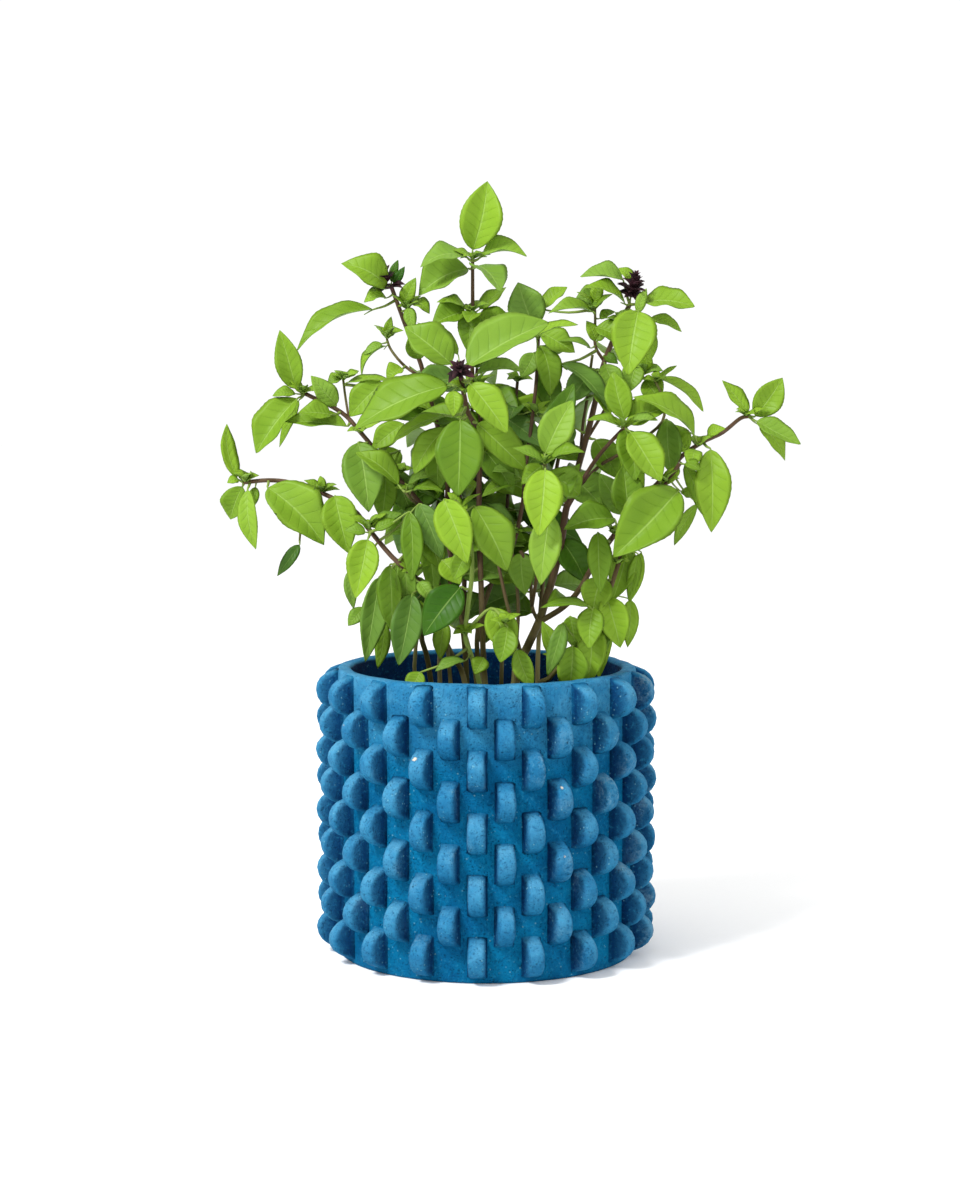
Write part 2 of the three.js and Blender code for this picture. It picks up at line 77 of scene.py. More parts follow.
# %% Camera
scene = bpy.context.scene
scene.view_settings.view_transform = "Standard"

camera_data = bpy.data.cameras.new("camera")
camera_data.lens = 74.64
camera_data.shift_x = -0.0052
camera = bpy.data.objects.new("camera", camera_data)
camera.location = (0, -1.102, 0.268)
camera.rotation_euler = (math.radians(90 - 5.73), 0, 0)
scene.collection.objects.link(camera)
scene.camera = camera
print("camera", tuple(camera.location))


# %% Light
PLANT_MIDDLE = Vector((0, 0, 0.17))


def soft_lamp(name, place, size, watts):
    """A square area lamp that looks at the plant."""
    data = bpy.data.lights.new(name, "AREA")
    data.size = size
    data.energy = watts
    lamp = bpy.data.objects.new(name, data)
    lamp.location = place
    lamp.rotation_euler = (PLANT_MIDDLE - Vector(place)).to_track_quat("-Z", "Y").to_euler()
    scene.collection.objects.link(lamp)
    print("lamp", name, watts, "W")


soft_lamp("key_lamp", (-0.9, -0.85, 1.4), 0.4, 34)
soft_lamp("fill_lamp", (1.2, -0.7, 0.9), 0.8, 3)

world = bpy.data.worlds.new("sky")
scene.world = world
world.use_nodes = True
world.node_tree.nodes["Background"].inputs["Color"].default_value = (1, 1, 1, 1)
world.node_tree.nodes["Background"].inputs["Strength"].default_value = 1.05

# %% [markdown]
# ## Arithmetic for materials
# A material is a graph of nodes, and a pattern needs a lot of sums. Wired by hand they are hard to
# read, so one small class wraps a socket and turns +, - and * into Math nodes. Every other node
# comes from one method that sets the node up and joins its sockets.


# %% Sockets that can be added and multiplied
class Signal:
    """The output of a shader node. Sums written with it become Math nodes."""

    def __init__(self, finish, socket):
        self.finish, self.socket = finish, socket

    def sum(self, operation, *values):
        return self.finish.node("ShaderNodeMath", {"operation": operation}, dict(enumerate(values)))

    def __add__(self, other):
        return self.sum("ADD", self, other)

    def __sub__(self, other):
        return self.sum("SUBTRACT", self, other)

    def __rsub__(self, other):
        return self.sum("SUBTRACT", other, self)

    def __mul__(self, other):
        return self.sum("MULTIPLY", self, other)

    def __abs__(self):
        return self.sum("ABSOLUTE", self)

    __radd__, __rmul__ = __add__, __mul__

    def step(self, low, high):
        """0 below low, 1 above high and a smooth rise between them."""
        inputs = {"Value": self, "From Min": low, "From Max": high}
        settings = {"interpolation_type": "SMOOTHSTEP"}
        return self.finish.node("ShaderNodeMapRange", settings, inputs)


# %% A finish: one material and its nodes
class Finish:
    """A material under construction."""

    def __init__(self, name):
        self.material = bpy.data.materials.new(name)
        self.material.use_nodes = True
        self.tree = self.material.node_tree
        self.tree.nodes.clear()
        self.place = self.node("ShaderNodeTexCoord", out="Object")

    def node(self, kind, settings=None, inputs=None, out=0):
        made = self.tree.nodes.new(kind)
        for key, value in (settings or {}).items():
            setattr(made, key, value)
        for key, value in (inputs or {}).items():
            if isinstance(value, Signal):
                self.tree.links.new(value.socket, made.inputs[key])
            else:
                made.inputs[key].default_value = value
        return Signal(self, made.outputs[out]) if out is not None else None

    def attribute(self, name):
        """The three numbers that a piece's mesh holds under this name."""
        vector = self.node("ShaderNodeAttribute", {"attribute_name": name}, out="Vector")
        return [self.node("ShaderNodeSeparateXYZ", None, {0: vector}, out=k) for k in range(3)]

    def noise(self, per_metre, detail=3.0, rough=0.55, stretch=(1, 1, 1)):
        """Cloudy noise between 0 and 1 on the object's own place."""
        spot = self.node("ShaderNodeMapping", None, {"Vector": self.place, "Scale": stretch})
        inputs = {"Vector": spot, "Scale": per_metre, "Detail": detail, "Roughness": rough}
        return self.node("ShaderNodeTexNoise", None, inputs)

    def mix(self, share, first, second):
        """A colour between two colours."""
        inputs = {0: share, 6: first, 7: second}
        return self.node("ShaderNodeMix", {"data_type": "RGBA"}, inputs, out=2)

    def cells(self, per_metre):
        """Distance to the nearest of many scattered points, 0 on each of them."""
        inputs = {"Vector": self.place, "Scale": per_metre}
        return self.node("ShaderNodeTexVoronoi", None, inputs, out="Distance")

    def bump(self, height, millimetres, strength=1.0):
        inputs = {"Height": height, "Distance": millimetres / MM, "Strength": strength}
        return self.node("ShaderNodeBump", None, inputs)

    def surface(self, shader):
        """Ends the material with this shader."""
        self.node("ShaderNodeOutputMaterial", None, {"Surface": shader}, out=None)
        print("finish", self.material.name, len(self.tree.nodes), "nodes")
        return self.material


# %% [markdown]
# ## The floor
# A plain pale sheet under the pot is enough. It is large, so its far edge melts into the bright sky.

# %% Floor
paper = Finish("pale_floor")
paper_grain = paper.noise(300)
pale_floor = paper.surface(paper.node("ShaderNodeBsdfPrincipled", None, {
    "Base Color": paper.mix(paper_grain, (0.94, 0.94, 0.94, 1), (0.97, 0.97, 0.97, 1)),
    "Roughness": 0.9,
}))

bm = bmesh.new()
bmesh.ops.create_grid(bm, x_segments=1, y_segments=1, size=6)
floor_mesh = bpy.data.meshes.new("floor")
bm.to_mesh(floor_mesh)
bm.free()
floor_mesh.materials.append(pale_floor)
floor = bpy.data.objects.new("floor", floor_mesh)
scene.collection.objects.link(floor)
floor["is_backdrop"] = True
print("floor", floor.dimensions[:])

# %% [markdown]
# ## Finishing a piece
# Every piece ends the same way: from millimetres to metres, faces turned outwards, smooth shading,
# its material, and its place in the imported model. One function does that, so no step is forgotten.


# %% From a bmesh to a finished piece
def finish_piece(bm, name, material, nodes):
    """Turns a bmesh into a piece that stands for the nodes."""
    bmesh.ops.scale(bm, vec=(1 / MM, 1 / MM, 1 / MM), verts=bm.verts)
    bmesh.ops.recalc_face_normals(bm, faces=bm.faces)
    mesh = bpy.data.meshes.new(name)
    bm.to_mesh(mesh)
    bm.free()
    mesh.shade_smooth()
    mesh.materials.append(material)
    piece = bpy.data.objects.new(name, mesh)
    scene.collection.objects.link(piece)
    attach(piece, "root")
    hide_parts(*nodes)
    print(name, len(mesh.polygons), "faces")


# %% [markdown]
# ## The pot's paint
# The wall is cast, so it is slightly sandy, and its blue paint is matte. The nub crests are painted a
# lighter blue as a painted highlight, most where they face up, while the wall between the nubs stays a
# deeper blue. The flat sides of the nubs and the inside of the pot are painted dark navy as painted
# shade. The paint has gone chalky on the crests, where hands rub, and the rim is worn paler. Here and
# there it has chipped to pale plaster. The mesh carries the attribute "wear_and_painted_light". It holds
# how strongly a spot gets the crest highlight or the rim's wear, how much painted shade it gets on a
# nub's flat side or inside the pot, and how old its paint is.

# %% Blue paint on a cast wall
paint = Finish("pot_blue")
lit_crest_and_worn_rim, shade_on_sides_and_inside, age = paint.attribute("wear_and_painted_light")
clouds = paint.noise(28, 4)
patches = paint.noise(90, 5, 0.65)
grain = paint.noise(560, 4, 0.7)
sand = paint.noise(1500, 3, 0.65)

paint_tone = (clouds * 0.5 + patches * 0.5).step(0.36, 0.66)
wall_blue = paint.mix(paint_tone, (0.0002, 0.088, 0.215, 1), (0.0005, 0.145, 0.3, 1))
# Painted highlight: a lighter blue for the nub crests, mixed in by the crest mask. The worn rim takes it
# too.
lit_crest_blue = paint.mix(paint_tone, (0.022, 0.175, 0.345, 1), (0.075, 0.285, 0.46, 1))
# Painted shade: a dark navy for the flat sides of the nubs and the inside of the pot.
shaded_side_blue = paint.mix(paint_tone, (0.0001, 0.016, 0.072, 1), (0.0002, 0.036, 0.125, 1))
blue = paint.mix(lit_crest_and_worn_rim * (0.7 + 0.5 * patches), wall_blue, lit_crest_blue)
blue = paint.mix(shade_on_sides_and_inside, blue, shaded_side_blue)
blue = paint.mix(grain.step(0.54, 0.7) * 0.35, blue, (0.03, 0.26, 0.43, 1))
blue = paint.mix((1 - grain.step(0.32, 0.47)) * 0.45, blue, (0.0001, 0.03, 0.1, 1))
chalk = age * (patches * 0.5 + grain * 0.5).step(0.44, 0.6)
blue = paint.mix(chalk * 0.75, blue, (0.2, 0.3, 0.36, 1))

glint_spots = (1 - paint.cells(380).step(0.1, 0.2)) * patches.step(0.48, 0.6)
blue = paint.mix(glint_spots * 0.5, blue, (0.18, 0.46, 0.58, 1))
# Painted shade: small pits in the sandy wall are darkened to navy.
shaded_pits = 1 - sand.step(0.3, 0.4)
blue = paint.mix(shaded_pits * 0.5, blue, (0.0001, 0.018, 0.065, 1))
chips = (1 - (paint.cells(75) + 0.12 * grain).step(0.11, 0.15)) * lit_crest_and_worn_rim.step(0.75, 0.85)
blue = paint.mix(chips, blue, (0.66, 0.6, 0.5, 1))

relief = grain * 0.8 + sand * 0.5 + patches * 0.6 - shaded_pits * 0.6 + glint_spots * 0.3 - chips * 0.4
pot_blue = paint.surface(paint.node("ShaderNodeBsdfPrincipled", None, {
    "Base Color": blue,
    "Roughness": 0.55 + 0.3 * grain,
    "Specular IOR Level": 0.05,
    "Normal": paint.bump(relief, 1.0, 1.0),
}))

# %% [markdown]
# ## The pot
# A potter's shape is a profile turned round an axis, so the wall is spun from one outline, and its
# sharp edges are then bevelled. The nubs repeat, so only one is modelled: half of a disc, pushed out
# to its width and softened at its edges. Spin with duplicates sets it round the wall. A last pass
# moves every point a little, because no cast wall is perfectly even. Blender's vector noise is
# seeded by the clock unless it is told otherwise, so it is given a seed of its own.

# %% Sizes of the pot
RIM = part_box("pot")[1].z * MM
WALL = 66.6
THICK = 6.4
FLOOR = 8
RIM_ROUNDING = 1.7
COLUMNS = 36
NUB_REACH, NUB_HALF_HEIGHT, NUB_WIDTH, NUB_ROUNDING = 9.4, 8.7, 7.6, 1.9
FIRST_COLUMN = math.radians(-93.3)
TOP_NUB = RIM - 1 - NUB_HALF_HEIGHT
LOW_NUB = 2.6 + NUB_HALF_HEIGHT
NUB_STEP = (TOP_NUB - LOW_NUB) / 4
print("rim at", round(RIM, 1), "mm, a nub every", round(NUB_STEP, 2), "mm")

# %% Spin the wall
bm = bmesh.new()
outline = [(0, 0), (WALL, 0), (WALL, 30), (WALL, 60), (WALL, 90), (WALL, RIM),
    (WALL - THICK, RIM), (WALL - THICK, 95), (WALL - THICK, 60), (WALL - THICK, FLOOR), (0, FLOOR)]
corners = [bm.verts.new((x, 0, z)) for x, z in outline]
edges = [bm.edges.new(pair) for pair in zip(corners, corners[1:])]
bmesh.ops.spin(bm, geom=corners + edges, axis=(0, 0, 1), cent=(0, 0, 0), steps=120,
    angle=math.tau, use_merge=True)
bmesh.ops.remove_doubles(bm, verts=bm.verts, dist=0.001)
bmesh.ops.recalc_face_normals(bm, faces=bm.faces)
turned_edges = [e for e in bm.edges if e.is_manifold and e.calc_face_angle() > 1.2
    and math.hypot(*e.verts[0].co.xy) > 20]
bmesh.ops.bevel(bm, geom=turned_edges, offset=RIM_ROUNDING, offset_type="OFFSET", segments=3,
    profile=0.5, affect="EDGES", material=-1)
wall_mesh = bpy.data.meshes.new("wall")
bm.to_mesh(wall_mesh)
bm.free()
print("wall", len(wall_mesh.polygons), "faces,", len(turned_edges), "edges bevelled")

# %% One nub
bm = bmesh.new()
disc = bmesh.ops.create_circle(bm, segments=20, radius=1, cap_ends=True)
bmesh.ops.scale(bm, vec=(NUB_REACH + 1, NUB_HALF_HEIGHT, 1), verts=disc["verts"])
bmesh.ops.rotate(bm, cent=(0, 0, 0), matrix=Matrix.Rotation(math.pi / 2, 3, "X"), verts=bm.verts)
bmesh.ops.bisect_plane(bm, geom=bm.verts[:] + bm.edges[:] + bm.faces[:], plane_co=(0, 0, 0),
    plane_no=(-1, 0, 0), clear_outer=True)
bmesh.ops.translate(bm, vec=(WALL - 1, -NUB_WIDTH / 2, 0), verts=bm.verts)
pushed = bmesh.ops.extrude_face_region(bm, geom=bm.faces[:])
far_side = [v for v in pushed["geom"] if isinstance(v, bmesh.types.BMVert)]
bmesh.ops.translate(bm, vec=(0, NUB_WIDTH, 0), verts=far_side)
bmesh.ops.recalc_face_normals(bm, faces=bm.faces)
rounded = [e for e in bm.edges if abs(e.verts[0].co.y - e.verts[1].co.y) < 0.01
    and max(v.co.x for v in e.verts) > WALL]
bmesh.ops.bevel(bm, geom=rounded, offset=NUB_ROUNDING, offset_type="OFFSET", segments=3,
    profile=0.5, affect="EDGES", material=-1)
for vert in bm.verts:
    root = max(0.0, 1 - (vert.co.x - WALL + 1) / 3.2) ** 1.5
    vert.co.y *= 1 + 0.2 * root
    vert.co.z *= 1 + 0.07 * root
nub_mesh = bpy.data.meshes.new("nub")
bm.to_mesh(nub_mesh)
bm.free()
print("one nub", len(nub_mesh.polygons), "faces")

# %% Set the nubs round the wall
bm = bmesh.new()
for column, (count, lift) in enumerate([(5, 0), (4, NUB_STEP / 2)]):
    for row in range(count):
        known = len(bm.verts)
        bm.from_mesh(nub_mesh)
        bm.verts.ensure_lookup_table()
        fresh = bm.verts[known:]
        bmesh.ops.translate(bm, vec=(0, 0, LOW_NUB + lift + row * NUB_STEP), verts=fresh)
        turn = Matrix.Rotation(FIRST_COLUMN + column * math.tau / COLUMNS, 3, "Z")
        bmesh.ops.rotate(bm, cent=(0, 0, 0), matrix=turn, verts=fresh)
step = 2 * math.tau / COLUMNS
bmesh.ops.spin(bm, geom=bm.verts[:] + bm.edges[:] + bm.faces[:], axis=(0, 0, 1), cent=(0, 0, 0),
    steps=COLUMNS // 2 - 1, angle=math.tau - step, use_duplicate=True)
nub_verts = len(bm.verts)
bm.from_mesh(wall_mesh)
bm.verts.ensure_lookup_table()
print("nubs", nub_verts // len(nub_mesh.vertices))

# %% Uneven casting, wear, painted highlight and painted shade
wear_and_painted_light = bm.verts.layers.float_vector.new("wear_and_painted_light")
bm.normal_update()
noise.seed_set(5)
for index, vert in enumerate(bm.verts):
    x, y, z = vert.co
    reach = math.hypot(x, y)
    outward = Vector((x, y, 0)).normalized() if reach > 1 else Vector((0, 0, 1))
    shiver = noise.noise_vector(vert.co * 0.09) * 0.45 + noise.noise_vector(vert.co * 0.45) * 0.14
    if z > 3:
        vert.co += shiver
    on_nub = index < nub_verts
    rise = min(1, max(0, (reach - WALL) / NUB_REACH)) if on_nub else 0
    upright = abs(vert.normal.dot(outward)) + abs(vert.normal.z)
    # Painted shade on the flat sides of the nubs, fading towards their crests.
    side = min(1, max(0, 1.3 - upright) * 1.4) * (1 - 0.75 * rise**1.5) if on_nub else 0
    # Painted highlight: the crest mask, stronger where the surface faces up.
    crest = min(1, rise * 2.5) * (0.6 + 0.5 * vert.normal.z)
    rim = 0.8 if z > RIM - 2.2 and not on_nub else 0
    # Painted shade on the inside of the pot.
    shaded_inside = reach < WALL - THICK + 1.4 and FLOOR - 1 < z < RIM - 1.2
    scuffed = noise.noise(vert.co * 0.05 + Vector((7, 3, 0))) + 0.3 * (x - y * 0.4) / 80 - z / 400
    aged = min(1, max(0, scuffed - 0.25) * 2.4) * crest
    vert[wear_and_painted_light] = (max(crest, rim), 1.0 if shaded_inside else side, aged)
finish_piece(bm, "pot_body", pot_blue, ["pot", "pot_nubs"])

# %% [markdown]
# ## The soil
# Potting soil is dark and loose: fine crumbs with bits of bark. A shallow turned block fills the pot
# up to the soil line, its top is pushed up and down by noise, and a few hundred small lumps lie
# on it. They are low icospheres, because each is only two or three millimetres wide.

# %% Dark crumbly soil
earth = Finish("potting_soil")
lumps = earth.noise(260, 5, 0.7)
fibres = earth.noise(700, 3, 0.6, (1, 0.3, 1))
earth_colour = earth.mix(lumps.step(0.35, 0.65), (0.012, 0.008, 0.005, 1), (0.06, 0.036, 0.02, 1))
earth_colour = earth.mix(fibres.step(0.62, 0.7) * 0.7, earth_colour, (0.16, 0.1, 0.055, 1))
potting_soil = earth.surface(earth.node("ShaderNodeBsdfPrincipled", None, {
    "Base Color": earth_colour,
    "Roughness": 0.92,
    "Normal": earth.bump(lumps * 0.7 + fibres * 0.3, 1.2),
}))

# %% Soil
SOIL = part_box("soil")[1].z * MM
SOIL_RADIUS = WALL - THICK - 0.5
CRUMBS = 420
dice = random.Random(11)
bm = bmesh.new()
rings = [bm.verts.new((SOIL_RADIUS * k / 20, 0, SOIL - 1.2)) for k in range(21)]
rings.append(bm.verts.new((SOIL_RADIUS, 0, FLOOR + 0.4)))
rings.append(bm.verts.new((0, 0, FLOOR + 0.4)))
edges = [bm.edges.new(pair) for pair in zip(rings, rings[1:])]
bmesh.ops.spin(bm, geom=rings + edges, axis=(0, 0, 1), cent=(0, 0, 0), steps=96, angle=math.tau,
    use_merge=True)
bmesh.ops.remove_doubles(bm, verts=bm.verts, dist=0.001)
for vert in bm.verts:
    if vert.co.z > SOIL - 3:
        spread = math.hypot(*vert.co.xy) / SOIL_RADIUS
        vert.co.z += noise.fractal(vert.co * 0.12, 1.0, 2.0, 4) * 2.2 - 2.4 * spread**3
for _ in range(CRUMBS):
    angle, far = dice.uniform(0, math.tau), math.sqrt(dice.random()) * (SOIL_RADIUS - 4)
    spot = Vector((far * math.cos(angle), far * math.sin(angle), SOIL - 1.4 - 2.4 * (far / 60) ** 3))
    lump = bmesh.ops.create_icosphere(bm, subdivisions=1, radius=dice.uniform(0.8, 2.1))
    squash = Matrix.Diagonal((dice.uniform(0.7, 1.5), dice.uniform(0.7, 1.2), dice.uniform(0.4, 0.9), 1))
    turn = Matrix.Rotation(dice.uniform(0, math.tau), 4, "Z")
    bmesh.ops.transform(bm, matrix=Matrix.Translation(spot) @ turn @ squash, verts=lump["verts"])
finish_piece(bm, "soil_crumbs", potting_soil, ["soil"])

# %% [markdown]
# ## What leaves are made of
# A basil leaf is thin and soft. Light shines through it, so it is a mix of a normal surface and a
# translucent one. The blade carries the attribute "blade": how far a spot is across the leaf, from -1 to
# 1, how far along it, from 0 to 1, and which face it is on. From these the finish draws a pale midrib
# and arched side veins, with the soft bulges between them, which get a slight painted highlight. The
# attribute "leaf" belongs to whole faces. It holds the leaf's tone from deep to bright, which carries
# painted shade and painted light as well as each leaf's own tone, its greyness, and whether it is the
# underside.

# %% Leaf green
green = Finish("leaf_green")
across, along, _ = green.attribute("blade")
tone_and_painted_light, grey, under = green.attribute("leaf")
to_edge = abs(across)
vein_phase = (along - to_edge * 0.24 + to_edge * to_edge * 0.09) * 7.5
vein_tent = abs(green.node("ShaderNodeMath", {"operation": "FRACT"}, {0: vein_phase}) - 0.5) * 2
side_veins = vein_tent.step(0.86, 0.99) * (1 - to_edge.step(0.5, 0.9)) * along.step(0.03, 0.12)
pillows = (1 - vein_tent * vein_tent) * (1 - to_edge * to_edge)
midrib = 1 - to_edge.step(0.01, 0.06)
mottle = green.noise(110, 4, 0.6)

# Painted shade and painted light: the tone runs from a deep green for shaded leaves to a bright one for
# lit leaves.
leaf_colour = green.mix(tone_and_painted_light, (0.014, 0.072, 0.0006, 1), (0.245, 0.415, 0.026, 1))
leaf_colour = green.mix(grey * 0.8, leaf_colour, (0.13, 0.25, 0.085, 1))
leaf_colour = green.mix((mottle - 0.3) * (0.1 + 0.4 * tone_and_painted_light), leaf_colour, (0.25, 0.37, 0.015, 1))
# Painted highlight: the bulges between the veins are a little lighter, more so on bright leaves.
leaf_colour = green.mix(pillows * 0.1 * tone_and_painted_light, leaf_colour, (0.27, 0.45, 0.06, 1))
leaf_colour = green.mix(side_veins * 0.16, leaf_colour, (0.05, 0.14, 0.003, 1))
leaf_colour = green.mix(under * 0.5, leaf_colour, (0.24, 0.38, 0.1, 1))
leaf_colour = green.mix(midrib * (0.25 + 0.3 * tone_and_painted_light), leaf_colour, (0.36, 0.53, 0.13, 1))
leaf_colour = green.mix(to_edge.step(0.93, 1.0) * 0.2, leaf_colour, (0.26, 0.36, 0.05, 1))

leaf_relief = pillows * 0.4 - side_veins * 0.25 - midrib * 0.7 + mottle * 0.3
gloss = green.node("ShaderNodeBsdfPrincipled", None, {
    "Base Color": leaf_colour,
    "Roughness": 0.36 + 0.2 * mottle + 0.1 * under,
    "Specular IOR Level": 0.16,
    "Normal": green.bump(leaf_relief, 0.45, 0.6),
})
glow = green.node("ShaderNodeBsdfTranslucent", None, {"Color": (0.3, 0.55, 0.01, 1)})
through = 0.04 + 0.2 * tone_and_painted_light
leaf_green = green.surface(green.node("ShaderNodeMixShader", None, {0: through, 1: gloss, 2: glow}))

# %% [markdown]
# ## What stems are made of
# Old stems are woody: tan and olive near the soil and purple-brown higher up, with fine streaks
# along them. Leaf stalks and young tips are green. The attribute "bark" says how young a spot is
# and how much purple it has.

# %% Stem purple
bark = Finish("stem_purple")
youth, blush, _ = bark.attribute("bark")
streaks = bark.noise(500, 4, 0.6, (1, 1, 0.08))
blotches = bark.noise(70, 3, 0.6)
wood = bark.mix(blush, (0.13, 0.105, 0.035, 1), (0.06, 0.008, 0.018, 1))
wood = bark.mix(streaks.step(0.45, 0.7) * 0.25, wood, (0.13, 0.03, 0.04, 1))
wood = bark.mix(blotches.step(0.5, 0.7) * 0.3, wood, (0.03, 0.01, 0.012, 1))
stem_colour = bark.mix(youth, wood, (0.2, 0.32, 0.05, 1))
stem_purple = bark.surface(bark.node("ShaderNodeBsdfPrincipled", None, {
    "Base Color": stem_colour,
    "Roughness": 0.5 + 0.2 * streaks,
    "Specular IOR Level": 0.2,
    "Normal": bark.bump(streaks, 0.25, 0.6),
}))

# %% [markdown]
# ## Smooth paths
# A stem is drawn as a few points from the soil to its tip, and a Catmull-Rom curve passes through
# all of them without corners. Points are written as (x, y, height above the rim), because the rim
# is the natural mark to measure a potted plant from.

# %% Points and paths
ROOT = -34


def spot(point):
    """A point written by its height above the rim, in the pot's own frame."""
    return Vector((point[0], point[1], RIM + point[2]))


def smooth_path(points, per_span=4):
    """Points of a curve through the given ones, per_span of them between two."""
    ends = [points[0] * 2 - points[1], *points, points[-1] * 2 - points[-2]]
    path = []
    for a, b, c, d in zip(ends, ends[1:], ends[2:], ends[3:]):
        for k in range(per_span):
            t = k / per_span
            path.append(0.5 * (2 * b + (c - a) * t + (2 * a - 5 * b + 4 * c - d) * t * t
                + (3 * b - a - 3 * c + d) * t**3))
    return [*path, points[-1]]


print("a path of", len(smooth_path([spot((0, 0, 0)), spot((0, 0, 9)), spot((1, 0, 20))])), "points")

# %% [markdown]
# ## Growing a rod
# A stem grows from a small capped ring. The cap is extruded again and again, and each new cap is
# carried to the next point of the path, turned to face along it and shrunk to the stem's radius
# there. Basil stems are nearly square, so the ring gets four soft ridges.


# %% Grow a rod along a path
def grow_rod(bm, path, radii, sides, young, purple):
    """radii and young are for the foot and the tip. Without a purple, the height gives it."""
    bark_layer = bm.verts.layers.float_vector["bark"]
    ring = bmesh.ops.create_circle(bm, cap_ends=True, segments=sides, radius=1)["verts"]
    if sides > 8:
        for k, vert in enumerate(ring):
            vert.co *= 1 + 0.07 * math.cos(4 * math.tau * k / sides)
    cap = next(face for face in ring[0].link_faces)
    facing, was = None, Matrix.Identity(4)
    for k, point in enumerate(path):
        ahead = (path[min(k + 1, len(path) - 1)] - path[max(k - 1, 0)]).normalized()
        turn = Vector((0, 0, 1)).rotation_difference(ahead) if facing is None else (
            facing[0].rotation_difference(ahead) @ facing[1])
        facing = (ahead, turn)
        share = k / (len(path) - 1)
        radius = radii[0] + (radii[1] - radii[0]) * share
        width = Matrix.Diagonal((radius, radius, 1, 1))
        now = Matrix.Translation(point) @ turn.to_matrix().to_4x4() @ width
        if k:
            grown = bmesh.ops.extrude_face_region(bm, geom=[cap])["geom"]
            cap = next(g for g in grown if isinstance(g, bmesh.types.BMFace))
        bmesh.ops.transform(bm, matrix=now @ was.inverted(), verts=cap.verts[:])
        aged = purple or max(0, min(1, (point.z - RIM - 5) / 45))
        for vert in cap.verts:
            vert[bark_layer] = (young[0] + (young[1] - young[0]) * share, aged, 0)
        was = now


# %% [markdown]
# ## Growing a blade
# A leaf blade is closed and thin. A sphere has poles where a leaf has its base and its tip, so its
# rings become the leaf's width from base to tip, and its upper and lower halves become the two
# faces. The outline is ovate with a pointed tip and a fine toothed edge. The blade folds up along
# its midrib, arches along its length and waves a little at its margins, each leaf differently.

# %% The blade
BLADE_THICKNESS = 0.6
dice = random.Random(4)


def ovate(share, belly):
    """How wide a leaf is at a share of its length, from 0 at its ends to 1 at its widest."""
    full = share**belly
    return math.sin(math.pi * full) ** (0.72 if full < 0.5 else 0.92) if 0 < share < 1 else 0


def grow_blade(bm, base, tip, width, arch, facing, tone_and_painted_light, rings, sides, grey=0.0, fold=0.6):
    """One closed leaf. Its upper face looks towards facing, and its tone runs from deep, which is
    painted shade, to bright, which is painted light.
    """
    blade_layer = bm.verts.layers.float_vector["blade"]
    leaf_layer = bm.faces.layers.float_vector["leaf"]
    chord = tip - base
    length = chord.length
    ahead = chord / length
    up = (Vector(facing) - Vector(facing).dot(ahead) * ahead).normalized()
    side = ahead.cross(up)
    wave, bend, ripple = dice.uniform(0, math.tau), dice.uniform(-1, 1), dice.uniform(0.5, 1.1)
    fold *= dice.uniform(0.6, 1.3)
    belly, twist = dice.uniform(0.76, 0.9), dice.uniform(-0.45, 0.45)
    made = bmesh.ops.create_uvsphere(bm, u_segments=sides, v_segments=rings, radius=1)["verts"]
    for vert in made:
        x, y, z = vert.co
        share = 1 - math.acos(max(-1, min(1, z))) / math.pi
        pole = math.hypot(x, y) < 1e-4
        angle = math.atan2(y, x)
        out = 0 if pole else 1 - 2 * abs(angle) / math.pi
        edge = abs(out) > 0.99
        layer = 0 if pole or edge else math.copysign(1, angle)
        girth = ovate(share, belly)
        if edge and 0.12 < share < 0.95 and rings > 12:
            girth *= 1.008 if round(share * rings) % 2 else 0.988
        sideways = out * width / 2 * girth
        lift = arch * 4 * share * (1 - share) + fold * (math.hypot(sideways, 0.8) - 0.8)
        lift += ripple * 0.06 * width * out * out * math.sin(wave + share * 13 + 1.5 * out) * girth
        lift += 0.03 * width * math.sin(wave + share * 5) * out
        thick = BLADE_THICKNESS / 2 * layer * (1 - 0.6 * abs(out)) * (0.4 + 0.6 * girth)
        drift = bend * 0.045 * length * math.sin(math.pi * share)
        lift += sideways * twist * (share - 0.4)
        vert.co = base + chord * share + side * (sideways + drift) + up * (lift + thick)
        vert[blade_layer] = (out, share, layer)
    for face in {face for vert in made for face in vert.link_faces}:
        lower = any(vert[blade_layer].z < 0 for vert in face.verts)
        face[leaf_layer] = (tone_and_painted_light, grey, float(lower))


# %% [markdown]
# ## Growing a shoot
# One call grows a whole shoot: its stems, a stalk for each leaf from the nearest spot on the stems, and
# the blades. Stems and stalks are one piece and the blades another, because bark and leaf are different
# finishes. Low and inner leaves are painted a deeper green as painted shade, and high, front and outer
# leaves a brighter one as painted light.


# %% Which way leaves look, and their tone, which paints their light and shade
FRONT, STEEP = (0, -1, 0.3), (0, -1, 0.2)
FLAT, SLOPED, BACK = (0, -0.6, 1), (0, -0.7, 1), (0, 0.4, 1)
SMALL_LEAF = 9


def tone_and_painted_light_of(base, tip):
    """Painted light and shade: brighter towards the top, the front and the outside of the plant."""
    height = (base.z + tip.z) / 2 - RIM
    outer = math.hypot(tip.x, min(0, tip.y)) / 100
    return max(0.05, min(0.95, 0.26 + height / 420 + 0.25 * outer + dice.uniform(-0.2, 0.2)))


def nearest(paths, target):
    """The point of the paths that is nearest to the target."""
    return min((point for path in paths for point in path), key=lambda p: (p - target).length)


# %% The crowded middle
PAIR_SPACING = 11


